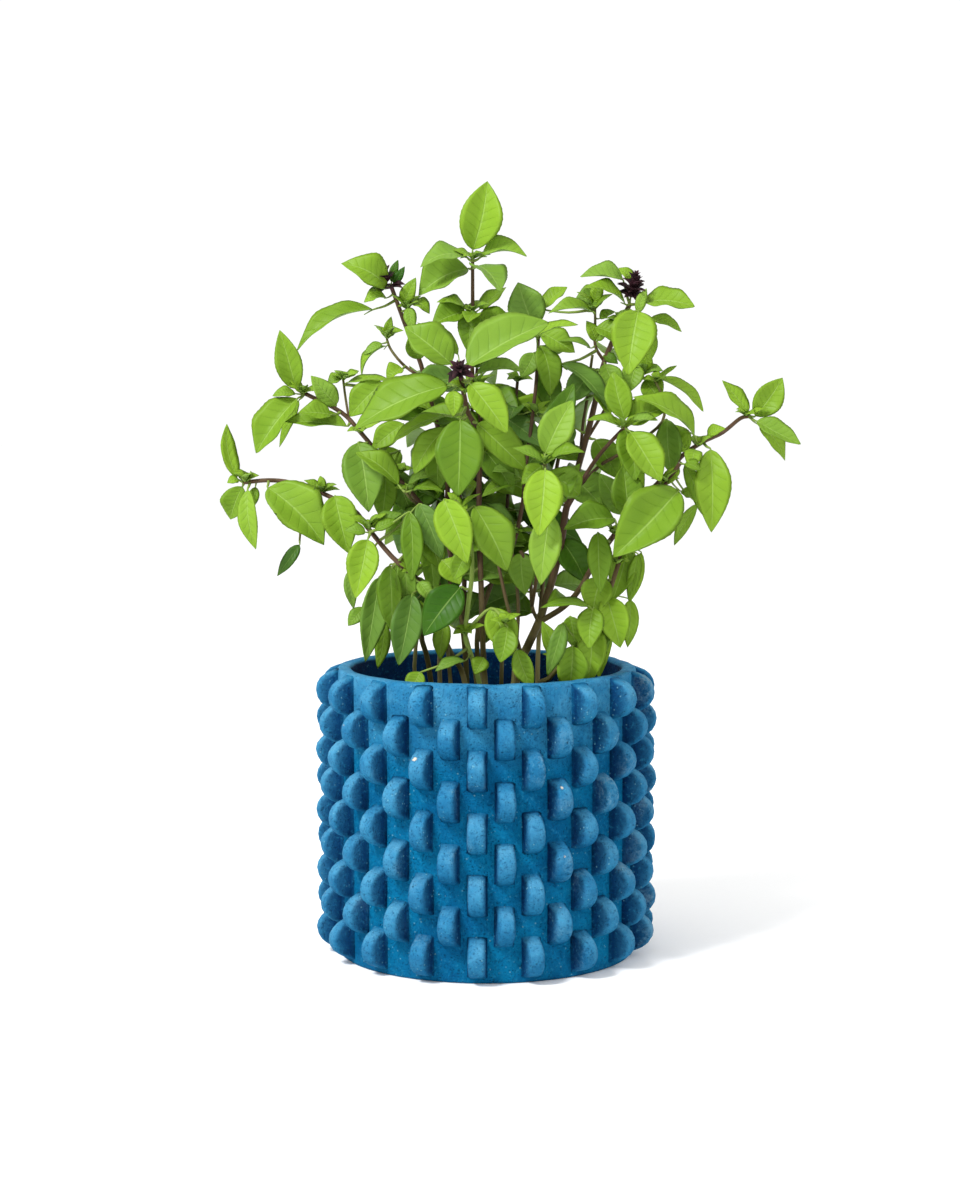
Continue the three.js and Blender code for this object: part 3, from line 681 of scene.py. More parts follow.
def crowd(path, low, high):
    """Opposite pairs of leaves up a stem, each pair a quarter turn from the last."""
    leaves, turn, mark = [], dice.uniform(0, math.pi), low
    for point in path:
        height = point.z - RIM
        if not mark <= height <= high:
            continue
        for side in (0, math.pi):
            angle = turn + side + dice.uniform(-0.4, 0.4)
            out = Vector((math.cos(angle), math.sin(angle), dice.uniform(-0.5, 0.3)))
            base = point + out * dice.uniform(5, 9)
            tip = base + (out + Vector((0, 0, -0.3))) * dice.uniform(22, 31)
            if abs(tip.x) > 56 or tip.y < -17 or tip.z - RIM < (10 if tip.y > 8 else 22):
                continue
            base, tip = [(v.x, v.y, v.z - RIM) for v in (base, tip)]
            width = dice.uniform(13, 18)
            # Inner leaves get a low tone, which is painted shade.
            leaves.append((base, tip, width, 2, (0, -0.9, 0.6), dice.uniform(0.05, 0.55)))
        mark, turn = height + PAIR_SPACING, turn + math.pi / 2
    return leaves


# %% Tufts of new leaves
TUFT_LEAVES = 5


def tuft(point):
    """A few tiny bright leaves that open from one joint of a stem."""
    leaves, turn = [], dice.uniform(0, math.tau)
    for k in range(TUFT_LEAVES):
        angle = turn + math.tau * k / TUFT_LEAVES + dice.uniform(-0.3, 0.3)
        out = Vector((math.cos(angle), 0.7 * math.sin(angle) - 0.25, dice.uniform(0.1, 0.9)))
        tip = Vector(point) + out * dice.uniform(5.5, 9.5)
        width, tone_and_painted_light = dice.uniform(3.6, 5.4), dice.uniform(0.6, 0.95)
        leaves.append((point, tuple(tip), width, 1, FLAT, tone_and_painted_light, 0))
    return leaves


# %% A whole shoot
def grow_shoot(name, stems, leaves, sprigs, pale=False, crowded=(), tufts=()):
    """crowded lists stems by number, each with the heights between which inner leaves grow."""
    wood_bm, leaf_bm = bmesh.new(), bmesh.new()
    wood_bm.verts.layers.float_vector.new("bark")
    leaf_bm.verts.layers.float_vector.new("blade")
    leaf_bm.faces.layers.float_vector.new("leaf")
    paths = []
    for lower, upper, points in stems:
        path = smooth_path([spot(p) for p in points])
        paths.append(path)
        young = (0.75, 0.75) if pale else (0.1, 0.12 + 0.2 * (upper < 0.8))
        purple = 0.4 if pale else None
        radii = (0.82 * lower, 0.88 * upper)
        grow_rod(wood_bm, path, radii, 12 if lower > 1.2 else 8, young, purple)
    inner = [leaf for number, low, high in crowded for leaf in crowd(paths[number], low, high)]
    buds = [leaf for point in tufts for leaf in tuft(point)]
    for leaf in [*leaves, *sprigs, *inner, *buds]:
        base, tip = spot(leaf[0]), spot(leaf[1])
        width, arch, facing = leaf[2], 1, (0, -0.8, 0.6)
        if len(leaf) > 4:
            arch, facing = leaf[3], leaf[4]
        tone_and_painted_light = leaf[5] if len(leaf) > 5 else tone_and_painted_light_of(base, tip)
        tone_and_painted_light = max(0.0, tone_and_painted_light + dice.uniform(-0.12, 0.1))
        grey = leaf[6] if len(leaf) > 6 else max(0, dice.uniform(-0.7, 0.4))
        stalk_radius, rings, sides = (0.42, 14, 8) if width < SMALL_LEAF else (0.62, 26, 16)
        foot = nearest(paths, base)
        reach = base - foot
        if reach.length > 0.6:
            into = base + (tip - base) * 0.12
            middle = foot + reach * 0.5 + Vector((0, 0, -0.06 * reach.length))
            stalk = smooth_path([foot, middle, base, into], 3)
            radii = (1.25 * stalk_radius, 0.35 * stalk_radius)
            grow_rod(wood_bm, stalk, radii, 6, (0.6, 0.95), 0.8)
        grow_blade(leaf_bm, base, tip, width, arch, facing, tone_and_painted_light, rings, sides, grey)
    slots = [f"leaf_{name}_{k + 1}" for k in range(len(leaves))]
    finish_piece(wood_bm, f"stems_{name}", stem_purple, [f"shoot_{name}"])
    finish_piece(leaf_bm, f"leaves_{name}", leaf_green, slots)


# %% [markdown]
# ## The nine shoots
# Each shoot is written down as a gardener would describe it: the route of every stem, then each leaf by
# its base, its tip, its width, how far it arches, which way its upper face looks and its tone, which
# paints its light and shade.
# The large leaves are nodes of the imported model, in the order of their numbers. The small ones,
# called sprigs here, belong to the shoot's own node.

# %% The top shoot
grow_shoot(
    "top",
    stems=[
        (1.4, 0.8, [(-8, 8, ROOT), (-9, 6, 0), (-10, 5, 30), (-8, 6, 60), (-4, 8, 85), (-2, 8, 105),
            (-6, 7, 127), (-6, 6, 152), (-6, 5, 167), (-6, 4, 179)]),
    ],
    leaves=[
        ((-6, 4, 184), (0.5, 4, 214), 19, 1, STEEP, 0.75),
        ((-9, 3, 181), (-29, -4, 176), 14, 3, (-0.2, -0.8, 1), 0.7),
        ((-2, 3, 181), (18, 0, 181), 13, 3, (0.2, -0.8, 1), 0.7),
        ((-8, 9, 176), (-30, 5, 164), 19, 2, (0, -0.9, 0.8), 0.7),
        ((-4, 0, 177), (6, -21, 165), 17, 2, (0.3, -0.5, 1), 0.55),
    ],
    sprigs=[
        ((-9, 4, 158), (-22, 0, 161), 8, 2, FLAT),
        ((-3, 8, 158), (9, 13, 168), 8, 1, (0, -0.8, 1)),
        ((-9, 4, 157), (-24, -3, 151), 13, 1, (0, -0.9, 0.7)),
        ((-4, 7, 153), (13, 8, 153), 11, 1, (0, -0.9, 0.7), 0.5),
        ((-7, 3, 158), (-8, -4, 139), 11, 1, FRONT, 0.5),
        ((-5, 2, 156), (-8, -9, 152), 9, 1, (0, -0.5, 1)),
        ((-5, 10, 122), (4, 36, 124), 14, 4, BACK),
        ((-7, 9, 66), (-20, 34, 60), 15, 4, BACK),
    ],
    crowded=[(0, 38, 128)],
    tufts=[(-6, 5, 157), (-6, 4, 180), (-4, 8, 124)],
)

# %% The upper left shoot
grow_shoot(
    "upper_left",
    stems=[
        (1.4, 1.0, [(-22, 10, ROOT), (-26, 7, 0), (-29, 4, 14), (-25, 1, 32), (-21, -2, 49),
            (-19, -4, 62), (-17, -4, 80), (-19, -2, 96), (-23, 1, 112), (-29, 4, 134), (-35, 7, 149),
            (-38, 8, 157), (-42, 8, 168)]),
        (0.9, 0.6, [(-27, 3, 127), (-36, 5, 133), (-42, 5, 140), (-44, 5, 145)]),
    ],
    leaves=[
        ((-44, 6, 168), (-64, 2, 178), 16, 5, (0, -0.9, 0.6), 0.55),
        ((-50, 7, 158), (-84, 0, 139), 12, 6, (-0.2, -0.7, 1), 0.6),
    ],
    sprigs=[
        ((-33, 7, 161), (-25, 4, 156), 8, 2, (0, -0.8, 1)),
        ((-44, 4, 163), (-54, 2, 161), 8, 2, (0, -0.8, 1)),
        ((-37, 3, 132), (-44, 0, 127), 9, 1, (0, -0.8, 1)),
        ((-20, 2, 100), (-36, 30, 96), 15, 4, BACK),
        ((-24, 8, 120), (-34, 34, 130), 14, 4, (0, 0.3, 1)),
        ((-34, 4, 159), (-32, 0, 148), 6),
        ((-37, 6, 160), (-31, 4, 172), 7, 1, FRONT, 0.6),
        ((-30, 4, 136), (-32, 0, 150), 9, 1, FRONT, 0.5),
        ((-42, 9, 170), (-39, 10, 180), 4, 1, (0, -1, 0), 0.05),
        ((-45, 8, 167), (-53, 10, 165), 4, 1, (0, -1, 0.5), 0.05),
        ((-41, 8, 169), (-36, 8, 177), 4, 1, (0, -1, 0), 0.05),
        ((-46, 4, 143), (-54, 2, 138), 5),
        ((-44, 6, 146), (-42, 6, 155), 4),
        ((-44, 4, 142), (-55, 2, 127), 7, 4, (-1, -0.5, 0.5)),
        ((-22, 0, 112), (-38, 4, 118), 11, 2, (0, -0.5, 1)),
        ((-18, -3, 82), (-4, 2, 92), 11, 2, (0, -0.5, 1)),
    ],
    crowded=[(0, 42, 122)],
    tufts=[(-44, 5, 145), (-35, 6, 158), (-22, 0, 110)],
)

# %% The left shoot
grow_shoot(
    "left",
    stems=[
        (1.4, 1.0, [(-8, -2, ROOT), (-9, -3, 0), (-11, -6, 22), (-14, -10, 40), (-17, -13, 56),
            (-23, -15, 66), (-31, -15, 76), (-39, -13, 85), (-55, -8, 104), (-64, -4, 113),
            (-80, 0, 121)]),
        (0.9, 0.7, [(-27, -15, 71), (-32, -20, 75), (-35, -26, 79)]),
        (0.7, 0.6, [(-60, -6, 108), (-62, -2, 119), (-63, -2, 127)]),
    ],
    leaves=[
        ((-56, -13, 100), (-51, -24, 70), 19, 2, (0, -1, 0.4), 0.5),
        ((-38, -26, 82), (-57, -22, 96), 12, 2, (0.3, -0.8, 0.8), 0.6),
        ((-61, -10, 107), (-88, -12, 109), 13, 1, SLOPED, 0.6),
        ((-84, 0, 123), (-91, 0, 149), 12, 1, (0, -1, 0), 0.6),
        ((-83, -4, 119), (-101, -10, 95), 17, 2, (-0.4, -0.9, 0.5), 0.55),
    ],
    sprigs=[
        ((-66, -3, 116), (-77, -6, 129), 10, 1, (0.2, -1, 0.3)),
        ((-68, -12, 112), (-82, -17, 113), 11, 1, (0, -0.8, 0.8)),
        ((-32, -28, 80), (-18, -31, 79), 7, 2, SLOPED),
        ((-34, -25, 82), (-21, -26, 86), 7, 2, SLOPED),
        ((-38, -3, 96), (-47, 2, 84), 14, 2, (0, -0.9, 0.6)),
        ((-84, -2, 121), (-94, -6, 120), 6),
        ((-83, 4, 118), (-92, 5, 97), 5),
        ((-64, -2, 128), (-70, -3, 125), 6),
        ((-62, -2, 128), (-56, -1, 131), 4),
        ((-61, -4, 126), (-42, -6, 127), 8, 1, (0, -0.5, 1), 0.6),
        ((-40, -9, 88), (-33, -6, 68), 12, 2, (0, -1, 0.4), 0.3),
        ((-24, -12, 70), (-38, -6, 60), 11, 2, (0, -0.8, 0.7), 0.3),
        ((-45, -8, 126), (-60, -8, 111), 14, 1, (0, -0.9, 0.5), 0.6),
        ((-44, -10, 86), (-46, -12, 66), 11, 1, FRONT, 0.45),
        ((-36, -12, 108), (-50, -12, 97), 11, 1, (0, -0.9, 0.5), 0.7),
    ],
    crowded=[(0, 40, 82)],
    tufts=[(-33, -23, 79), (-63, -2, 127), (-81, 0, 121), (-55, -8, 104), (-38, -14, 86)],
)

# %% The far left shoot
grow_shoot(
    "far_left",
    stems=[
        (1.4, 1.0, [(-4, -16, ROOT), (-10, -16, -3), (-15, -18, 7), (-20, -20, 18), (-27, -23, 36),
            (-32, -25, 43), (-41, -26, 51), (-52, -24, 64), (-58, -20, 71), (-73, -10, 78),
            (-86, -6, 82), (-96, -5, 83), (-107, -4, 82)]),
        (0.8, 0.6, [(-80, -8, 80), (-82, 2, 68), (-83, 2, 56)]),
        (0.8, 0.7, [(-51, -24, 63), (-50, -30, 62)]),
    ],
    leaves=[
        ((-108, 0, 80), (-114, 4, 65), 12, 1, (-0.2, -1, 0.2), 0.55),
        ((-105, -8, 79), (-101, -14, 53), 9, 2, (-0.2, -1, 0.3), 0.75),
        ((-96, -9, 80), (-71, -15, 55), 22, 2, (0.2, -1, 0.5), 0.65),
        ((-66, -18, 77), (-60, -22, 52), 16, 2, FRONT, 0.6),
        ((-51, -34, 59), (-56, -41, 34), 14, 2, FRONT, 0.9),
        ((-47, -15, 41), (-53, -21, 4), 12, 1, (0.2, -1, 0.1), 0.3),
        ((-42, -22, 47), (-41, -27, 18), 12, 2, (-0.3, -1, 0.2), 0.4),
        ((-32, -30, 35), (-38, -34, 4), 14, 2, STEEP, 0.2),
    ],
    sprigs=[
        ((-110, -4, 84), (-114, -6, 108), 8, -3, (0.6, -1, 0)),
        ((-54, -9, 27), (-61, -11, 19), 7, 1, (0, -1, 0.5)),
        ((-29, -36, 41), (-22, -40, 32), 7, 1, (0, -1, 0.6)),
        ((-28, -26, 62), (-20, -29, 46), 12, 2, (0.2, -1, 0.3)),
        ((-109, -6, 83), (-114, -8, 82), 5),
        ((-102, -3, 80), (-103, -4, 71), 5),
        ((-83, 2, 54), (-93, 0, 40), 6, 1, FRONT, 0.15),
        ((-52, -32, 62), (-61, -34, 63), 6),
        ((-48, -32, 63), (-38, -31, 67), 6),
        ((-60, -17, 44), (-58, -18, 27), 6),
        ((-45, -10, 22), (-48, -12, 0), 7, 1, STEEP, 0.5),
        ((-31, -29, 32), (-27, -30, 24), 6, 1, FRONT, 0.5),
        ((-33, -33, 71), (-32, -37, 41), 10, 2, STEEP, 0.35),
        ((-29, -27, 74), (-19, -30, 50), 12, 2, FRONT, 0.3),
        ((-26, -22, 58), (-23, -24, 32), 9, 2, FRONT, 0.3),
        ((-72, -9, 79), (-71, -12, 84), 5),
        ((-50, -28, 64), (-36, -27, 70), 7),
        ((-36, -22, 50), (-34, -26, 24), 9, 2, FRONT, 0.45),
    ],
    tufts=[(-51, -27, 63), (-106, -4, 82), (-32, -25, 43), (-72, -10, 78)],
)

# %% The centre shoot
grow_shoot(
    "centre",
    stems=[
        (1.5, 1.1, [(2, -10, ROOT), (-1, -11, 0), (-2, -15, 30), (-3, -18, 60), (-3, -21, 85),
            (-2, -25, 96), (-5, -31, 108), (-8, -35, 114), (-10, -38, 124), (-11, -40, 130)]),
    ],
    leaves=[
        ((-8, -33, 133), (27, -26, 152), 23, 1, (-0.2, -0.9, 0.8), 0.6),
        ((-15, -34, 134), (-35, -32, 150), 20, 2, (0.1, -0.9, 0.8), 0.5),
        ((-16, -38, 125), (-57, -36, 106), 22, 3, (0, -0.8, 0.8), 0.55),
        ((-7, -43, 126), (9, -48, 105), 15, 2, (0.2, -1, 0.4), 0.85),
        ((-11, -45, 111), (-12, -48, 78), 21, 2, STEEP, 0.35),
        ((-4, -36, 109), (17, -37, 89), 17, 2, (0.3, -0.9, 0.5), 0.5),
    ],
    sprigs=[
        ((-12, -30, 138), (-30, -21, 152), 8, 1, FLAT),
        ((-14, -43, 123), (-14, -47, 112), 8, 1, STEEP),
        ((-4, -30, 130), (16, -24, 131), 10, 2, SLOPED),
        ((-18, -31, 112), (-40, -32, 101), 9, 3, SLOPED),
        ((-17, -32, 107), (-31, -34, 87), 12, 2, (-0.2, -1, 0.3)),
        ((-19, -20, 104), (-21, -26, 78), 13, 2, FRONT, 0.3),
        ((-2, -22, 98), (12, -24, 78), 13, 2, FRONT, 0.3),
        ((-4, -16, 70), (-20, -10, 60), 12, 2, (0, -0.8, 0.7), 0.15),
        ((-2, -16, 72), (12, -10, 60), 12, 2, (0, -0.8, 0.7), 0.2),
        ((-3, -24, 106), (-30, -10, 112), 12, 3, (0, -0.5, 1), 0.4),
    ],
    crowded=[(0, 44, 104)],
    tufts=[(-2, -23, 96), (-9, -39, 122)],
)

# %% The front shoot
grow_shoot(
    "front",
    stems=[
        (1.3, 1.0, [(2, -28, ROOT), (-3, -30, -4), (-6, -32, 7), (-9, -34, 17), (-8, -35, 29),
            (-6, -37, 47), (-8, -39, 66), (-13, -42, 76)]),
        (1.0, 0.7, [(-8, -34, 20), (2, -42, 30), (8, -48, 25)]),
    ],
    leaves=[
        ((-18, -46, 77), (-8, -52, 50), 16, 2, (-0.2, -1, 0.3), 0.85),
        ((-5, -43, 74), (9, -44, 46), 18, 2, (0.2, -1, 0.3), 0.6),
        ((-11, -39, 39), (-27, -42, 18), 17, 2, (-0.1, -1, 0.3), 0.1),
    ],
    sprigs=[
        ((-8, -40, 54), (-14, -42, 42), 9, 1, FRONT),
        ((9, -50, 23), (6, -54, 8), 11, 1, STEEP),
        ((-1, -36, 8), (-5, -40, 1), 8, 1, (0, -1, 0.5)),
        ((-9, -38, 7), (-22, -44, 3), 7, 2, FLAT),
        ((-28, -46, 3), (-33, -49, -6), 9),
        ((-19, -34, 50), (-11, -38, 40), 11, 1, FRONT, 0.7),
        ((13, -48, 13), (20, -50, -4), 9, 1, FRONT, 0.55),
        ((-18, -20, 22), (-20, -22, 5), 8, 1, FRONT, 0.55),
        ((2, -42, 30), (11, -46, 10), 14, 2, FRONT, 0.7),
    ],
    pale=True,
    tufts=[(8, -48, 24), (-9, -36, 18), (-11, -41, 72)],
)

# %% The back shoot
grow_shoot(
    "back",
    stems=[
        (1.3, 0.8, [(0, 0, ROOT), (-4, -2, 5), (-3, -6, 20), (1, -9, 34), (5, -12, 44), (12, -14, 56),
            (16, -14, 74), (17, -13, 87), (20, -10, 109), (22, -5, 127), (23, 1, 145)]),
        (1.2, 0.7, [(-28, 4, ROOT), (-32, -2, 0), (-27, 2, 35), (-22, 6, 70), (-16, 10, 104)]),
        (1.3, 0.8, [(-18, 8, ROOT), (-21, 4, 0), (-17, 8, 40), (-10, 14, 85), (-4, 18, 132)]),
        (1.2, 0.8, [(6, 8, ROOT), (7, 4, 0), (8, 8, 40), (10, 14, 80), (14, 18, 126)]),
        (1.3, 0.8, [(24, 2, ROOT), (23, 2, 0), (26, 8, 45), (32, 14, 90), (40, 18, 120)]),
        (1.2, 0.8, [(-14, -20, ROOT), (-16, -22, 0), (-20, -18, 34), (-26, -12, 64)]),
        (1.2, 0.8, [(10, -24, ROOT), (12, -25, 0), (14, -20, 30), (10, -14, 60)]),
        (1.1, 0.8, [(-2, -22, ROOT), (-5, -22, 0), (-12, -20, 26), (-20, -18, 52)]),
        (1.1, 0.8, [(20, -20, ROOT), (17, -22, 0), (9, -20, 30), (3, -16, 58)]),
    ],
    leaves=[
        ((21, 5, 150), (14, 7, 170), 17, 2, STEEP, 0.55),
    ],
    sprigs=[
        ((24, -5, 142), (28, -9, 120), 12, 2, (0.2, -1, 0.2)),
        ((21, -5, 139), (15, -9, 128), 9, 1, FRONT),
        ((15, -17, 84), (-2, -28, 77), 9, 2, (0, -0.8, 1)),
        ((18, -4, 92), (30, 28, 92), 16, 4, BACK),
        ((14, -4, 60), (22, 24, 52), 15, 4, BACK),
        ((23, -6, 111), (33, 8, 108), 5),
        ((12, -4, 112), (5, 10, 112), 6),
        ((22, -15, 146), (40, -18, 151), 7, 2, FLAT, 0.8),
        ((12, -2, 109), (27, -2, 110), 4, 3, FLAT, 0.1),
        ((15, -24, 85), (1, -26, 88), 8, 2, SLOPED, 0.7),
        ((2, 0, 25), (-2, 0, 9), 10, 1, FRONT, 0.3),
        ((22, 2, 130), (36, 10, 140), 12, 2, (0, -0.4, 1), 0.4),
        ((24, -4, 148), (39, -6, 139), 12, 1, (0, -0.9, 0.6), 0.6),
        ((25, 0, 132), (30, -2, 112), 12, 1, FRONT, 0.2),
        ((7, 2, 32), (4, -4, 12), 9, 1, FRONT, 0.5),
    ],
    crowded=[(0, 34, 118), (1, 20, 100), (2, 20, 128), (3, 20, 122), (4, 20, 116)],
    tufts=[(23, 1, 145), (21, -8, 112), (13, -14, 60), (14, 18, 126), (-4, 18, 132), (40, 18, 120),
        (-16, 10, 104)],
)

# %% The right shoot
grow_shoot(
    "right",
    stems=[
        (2.3, 1.1, [(8, -12, ROOT), (14, -14, 0), (18, -15, 10), (23, -15, 21), (26, -14, 30),
            (30, -12, 43), (33, -11, 56), (35, -10, 70), (39, -8, 84), (43, -6, 98), (46, -4, 109),
            (49, -3, 122), (52, -2, 135), (59, -2, 152), (63, -2, 160)]),
        (1.2, 0.9, [(35, -10, 70), (44, -18, 87), (50, -22, 96), (57, -25, 104), (60, -26, 107)]),
        (1.0, 0.7, [(37, -9, 76), (49, -11, 89), (57, -12, 94), (65, -13, 99), (77, -12, 109),
            (77, -7, 120), (74, -3, 127)]),
        (0.9, 0.7, [(43, -6, 99), (50, -2, 110), (55, 0, 118), (64, 2, 125), (69, 2, 129)]),
        (0.9, 0.6, [(52, -2, 135), (48, -1, 142), (48, 1, 152), (48, 3, 160)]),
        (1.0, 0.9, [(23, -15, 21), (20, -21, 29), (19, -22, 44), (15, -20, 53)]),
        (1.0, 0.8, [(20, -21, 29), (22, -32, 44), (25, -38, 66), (25, -42, 86), (25, -43, 92)]),
        (1.5, 0.9, [(23, -15, 21), (34, -16, 28), (41, -17, 36), (46, -17, 45), (54, -17, 57),
            (63, -16, 69), (72, -14, 79), (79, -12, 86), (86, -10, 94), (95, -9, 100), (104, -5, 104),
            (112, -1, 110), (116, 0, 111)]),
        (0.9, 0.7, [(42, 2, 97), (43, 4, 108), (45, 5, 120), (46, 5, 130), (47, 4, 138)]),
    ],
    leaves=[
        ((66, -14, 157), (61, -26, 129), 20, 2, FRONT, 0.7),
        ((68, -5, 161), (91, -10, 159), 15, 1, (0.1, -0.8, 0.9), 0.65),
        ((91, -14, 103), (63, -25, 120), 15, 4, (-0.1, -0.8, 1), 0.8),
        ((83, -30, 80), (54, -44, 52), 24, 2, (0.2, -0.9, 0.7), 0.45),
        ((98, -14, 97), (98, -21, 61), 16, 2, FRONT, 0.75),
        ((62, -30, 105), (75, -37, 84), 16, 2, (0.2, -1, 0.4), 0.7),
        ((61, -31, 69), (59, -28, 91), 15, 1, (0.1, -1, 0.1), 0.35),
        ((55, -34, 68), (33, -44, 64), 14, 2, (0, -0.9, 0.6), 0.35),
        ((48, -34, 62), (49, -38, 36), 11, 1, (0.2, -1, 0), 0.4),
        ((119, 1, 111), (131, 2, 128), 13, 1, (0, -1, 0.1), 0.7),
        ((119, -4, 109), (138, -10, 99), 11, 0, (0, -0.8, 0.8), 0.7),
        ((25, -43, 96), (37, -38, 119), 15, 1, STEEP, 0.9),
        ((25, -50, 90), (22, -58, 62), 17, 2, FRONT, 1.0),
        ((27, -47, 71), (23, -54, 41), 14, 2, STEEP, 0.75),
    ],
    sprigs=[
        ((60, -1, 171), (41, -4, 172), 12, 2, (0, -0.8, 1)),
        ((61, -6, 160), (42, -12, 167), 10, 3, FLAT),
        ((72, 1, 154), (86, -2, 148), 8, 1, (0, -0.8, 1)),
        ((47, 1, 157), (27, -4, 156), 9, 3, FLAT),
        ((48, -8, 122), (54, -13, 111), 9, 2, (0.4, -1, 0.4)),
        ((60, -21, 110), (55, -15, 131), 12, 1, (0, -1, 0)),
        ((75, -1, 128), (96, 0, 113), 10, 3, (0.3, -0.6, 1)),
        ((58, -27, 107), (43, -29, 110), 7, 2, FLAT),
        ((62, -27, 108), (74, -28, 110), 7, 2, FLAT),
        ((59, -22, 103), (68, -22, 76), 10, 1, (0.2, -1, 0.2)),
        ((61, -19, 69), (49, -22, 87), 12, 1, (0, -1, 0.1)),
        ((87, -9, 90), (95, -9, 68), 8, 1, (0.2, -1, 0.2)),
        ((88, -11, 96), (80, -9, 108), 11, 1, STEEP),
        ((91, -17, 97), (89, -23, 88), 8, 1, (0, -1, 0.4)),
        ((116, 0, 113), (104, 0, 127), 8, -1, (0.8, -1, 0)),
        ((121, 4, 107), (133, 6, 91), 8, 2, (0.4, -1, 0.3)),
        ((62, -19, 55), (55, -22, 31), 12, 1, (0, -1, 0.1)),
        ((37, -20, 30), (26, -32, 30), 10, 2, (0, -0.4, 1)),
        ((26, -39, 72), (40, -40, 92), 9, 1, (0.2, -1, 0.3)),
        ((24, -46, 93), (11, -48, 99), 7, 1, SLOPED),
        ((27, -46, 94), (42, -50, 97), 8, 2, SLOPED),
        ((53, 0, 138), (62, 28, 134), 15, 4, BACK),
        ((40, -4, 84), (50, 26, 80), 16, 4, BACK),
        ((48, -1, 144), (44, -1, 153), 6),
        ((49, -1, 144), (54, 0, 152), 6),
        ((48, 3, 161), (51, 4, 170), 6),
        ((46, -3, 141), (31, -6, 144), 6, 2, FLAT, 0.7),
        ((70, 2, 131), (78, 0, 131), 5),
        ((70, 2, 131), (71, 0, 140), 6),
        ((97, -8, 103), (105, -10, 106), 6),
        ((25, 6, 158), (36, 10, 168), 9, 1, FLAT, 0.8),
        ((52, 6, 163), (39, 4, 162), 12, 1, (0, -0.9, 0.5), 0.4),
        ((64, -2, 170), (58, -2, 176), 6),
        ((66, -10, 156), (70, -8, 167), 5, 1, (0, -1, 0), 0.9),
        ((72, -6, 149), (71, -8, 134), 6),
        ((33, -8, 134), (54, -12, 112), 11, 5, (0, -0.5, 1), 0.2),
        ((52, -2, 138), (58, -4, 134), 5, 1, FRONT, 0.2),
        ((50, 4, 154), (57, 4, 157), 5),
        ((70, 0, 127), (77, -3, 118), 11, 1, FRONT, 0.6),
        ((94, 6, 72), (84, 8, 53), 6, 3, FRONT, 0.85),
        ((86, -2, 78), (92, -2, 75), 6),
        ((84, -20, 89), (76, -22, 81), 6),
        ((68, -14, 52), (63, -16, 30), 6, 1, STEEP, 0.9),
        ((64, -2, 30), (63, 0, 8), 8, 1, STEEP, 0.85),
        ((25, -28, 102), (38, -24, 126), 12, 1, STEEP, 0.15),
        ((24, -38, 91), (15, -40, 83), 8, 1, (0, -1, 0.4), 0.6),
        ((33, -9, 57), (44, -10, 38), 14, 2, FRONT, 0.05),
        ((26, -42, 88), (40, -36, 78), 14, 2, (0, -1, 0.4), 0.35),
        ((60, -26, 106), (64, -34, 84), 14, 2, (0, -1, 0.4), 0.5),
        ((38, -8, 85), (52, -12, 71), 16, 1, (0, -1, 0.5), 0.4),
        ((48, -6, 101), (58, -10, 84), 13, 1, (0, -1, 0.4), 0.35),
        ((79, -12, 110), (81, -14, 86), 12, 1, FRONT, 0.5),
        ((62, -20, 109), (79, -22, 115), 14, 1, (0, -0.9, 0.6), 0.7),
        ((52, -4, 134), (57, -8, 119), 11, 1, FRONT, 0.6),
        ((66, 0, 134), (62, -4, 121), 10, 1, FRONT, 0.7),
        ((46, -5, 131), (35, -8, 117), 12, 1, FRONT, 0.3),
        ((48, -2, 150), (61, -6, 144), 11, 1, (0, -0.9, 0.6), 0.6),
        ((15, -20, 52), (17, -25, 34), 12, 1, FRONT, 0.5),
    ],
    crowded=[(0, 40, 132)],
    tufts=[(59, -26, 107), (25, -44, 92), (48, 2, 158), (93, -9, 98), (115, 0, 111), (56, -17, 60),
        (47, -2, 128), (60, -2, 152), (69, 2, 129), (75, -3, 126)],
)

# %% The low right shoot
grow_shoot(
    "low_right",
    stems=[
        (1.4, 1.0, [(16, -30, ROOT), (22, -34, -6), (27, -36, -1), (33, -37, 6), (38, -36, 11),
            (44, -34, 18), (50, -31, 29), (54, -29, 38), (58, -28, 50), (63, -27, 61), (71, -25, 73),
            (77, -23, 81), (84, -21, 91)]),
    ],
    leaves=[
        ((37, -42, 14), (35, -40, -8), 14, 1, (0.1, -1, 0.1), 0.5),
    ],
    sprigs=[
        ((52, -31, 24), (43, -35, 0), 10, 1, (-0.2, -1, 0.1)),
        ((46, -38, 30), (44, -47, 13), 12, 1, STEEP),
        ((33, -42, 24), (26, -46, 1), 8, 1, (0, -1, 0)),
        ((86, -22, 91), (93, -23, 88), 6),
        ((66, -24, 52), (62, -22, 31), 6, 1, STEEP, 0.6),
        ((36, -36, 26), (38, -38, 12), 9, 1, STEEP, 0.4),
        ((54, -24, 21), (49, -26, -3), 7, 1, STEEP, 0.95),
        ((42, -30, 15), (46, -32, 9), 6, 1, STEEP, 0.15),
        ((44, -42, 31), (23, -50, 31), 7, 2, SLOPED, 0.45),
        ((52, -30, 34), (58, -34, 12), 14, 2, STEEP, 0.7),
        ((46, -32, 22), (44, -38, -4), 13, 2, STEEP, 0.6),
        ((50, -28, 42), (46, -32, 26), 14, 1, FRONT, 0.6),
        ((32, -36, 6), (24, -36, 24), 8, 1, FRONT, 0.5),
    ],
    tufts=[(44, -34, 18), (57, -28, 48), (33, -37, 6), (78, -22, 83)],
)

# %% [markdown]
# ## Flower heads
# Three shoots end in a young flower head: a tight spike of dark purple bracts, each a small pointed
# leaf. They grow in whorls that open outwards, so the blade grower serves again, with few rings.

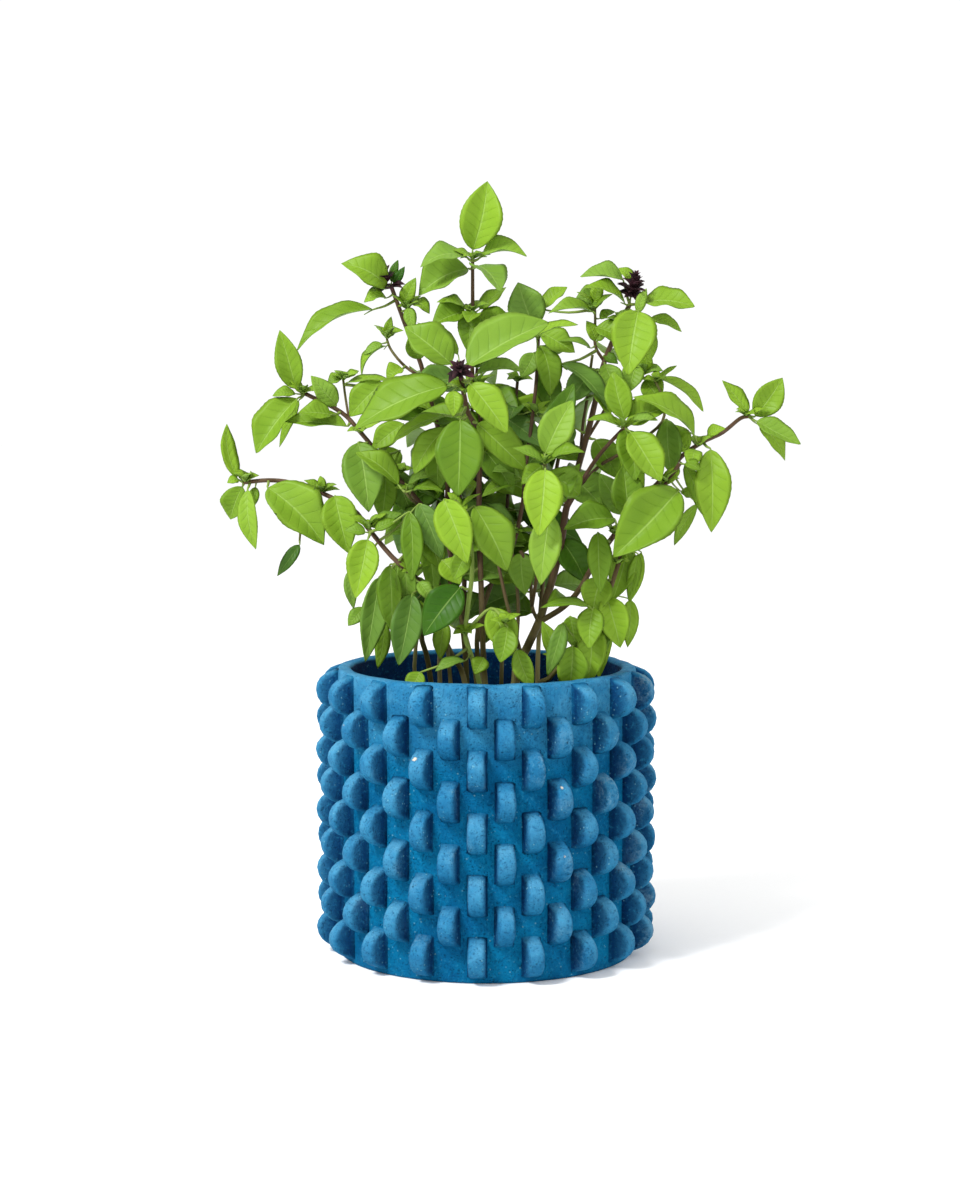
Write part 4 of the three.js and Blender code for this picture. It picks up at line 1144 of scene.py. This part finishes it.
# %% Dark purple bracts
petal = Finish("flower_purple")
velvet = petal.noise(700, 3, 0.6)
shade = petal.noise(160, 2)
_, petal_along, _ = petal.attribute("blade")
bract_colour = petal.mix(shade.step(0.4, 0.65), (0.012, 0.004, 0.006, 1), (0.04, 0.011, 0.017, 1))
bract_colour = petal.mix(petal_along.step(0.7, 1.0) * 0.3, bract_colour, (0.09, 0.03, 0.035, 1))
flower_purple = petal.surface(petal.node("ShaderNodeBsdfPrincipled", None, {
    "Base Color": bract_colour,
    "Roughness": 0.6 + 0.2 * velvet,
    "Specular IOR Level": 0.15,
    "Normal": petal.bump(velvet, 0.3),
}))


# %% A flower head
BRACTS = 8


def grow_flower(name, foot, direction, length, radius, whorls):
    bm = bmesh.new()
    bm.verts.layers.float_vector.new("blade")
    bm.faces.layers.float_vector.new("leaf")
    axis = Vector(direction).normalized()
    aside = axis.orthogonal().normalized()
    for whorl in range(whorls):
        share = whorl / max(1, whorls - 1)
        centre = spot(foot) + axis * (length * 0.7 * share)
        for k in range(BRACTS):
            angle = math.tau * k / BRACTS + whorl * 2.4 + dice.uniform(-0.3, 0.3)
            turn = Matrix.Rotation(angle, 3, axis)
            out = (turn @ aside).normalized()
            upright = (0.15 + 0.9 * share) * dice.uniform(0.4, 1.3)
            lean = (out * (1.1 - 0.75 * share) + axis * upright).normalized()
            size = radius * dice.uniform(0.8, 1.35) * (1 - 0.4 * share)
            tip, width = centre + lean * size, size * dice.uniform(0.38, 0.55)
            grow_blade(bm, centre, tip, width, 0.12 * size, axis, 0, rings=9, sides=8, fold=0.8)
    finish_piece(bm, f"bracts_{name}", flower_purple, [f"flower_{name}"])


# %% Three flower heads
grow_flower("left", (-43, 7, 167), (-0.2, -0.3, 1), 9, 7.0, 3)
grow_flower("centre", (-11.3, -41.5, 131.0), (-0.1, -0.85, 0.5), 4, 5.8, 3)
grow_flower("right", (63.8, -4, 163), (0.15, -0.3, 1), 10, 7.6, 5)

# %% [markdown]
# ## The sizes
# Both boxes, the imported model's and the finished look's, are printed axis by axis. The
# finished look has to stay within the imported model's size.

# %% Sizes
visual_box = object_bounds()
boxes = {"cad": cad_box, "visual": visual_box}
boxes = {name: [list(corner) for corner in box] for name, box in boxes.items()}
for k, axis_name in enumerate("xyz"):
    print(axis_name, "cad", round(cad_box[0][k], 4), round(cad_box[1][k], 4),
        "visual", round(visual_box[0][k], 4), round(visual_box[1][k], 4))
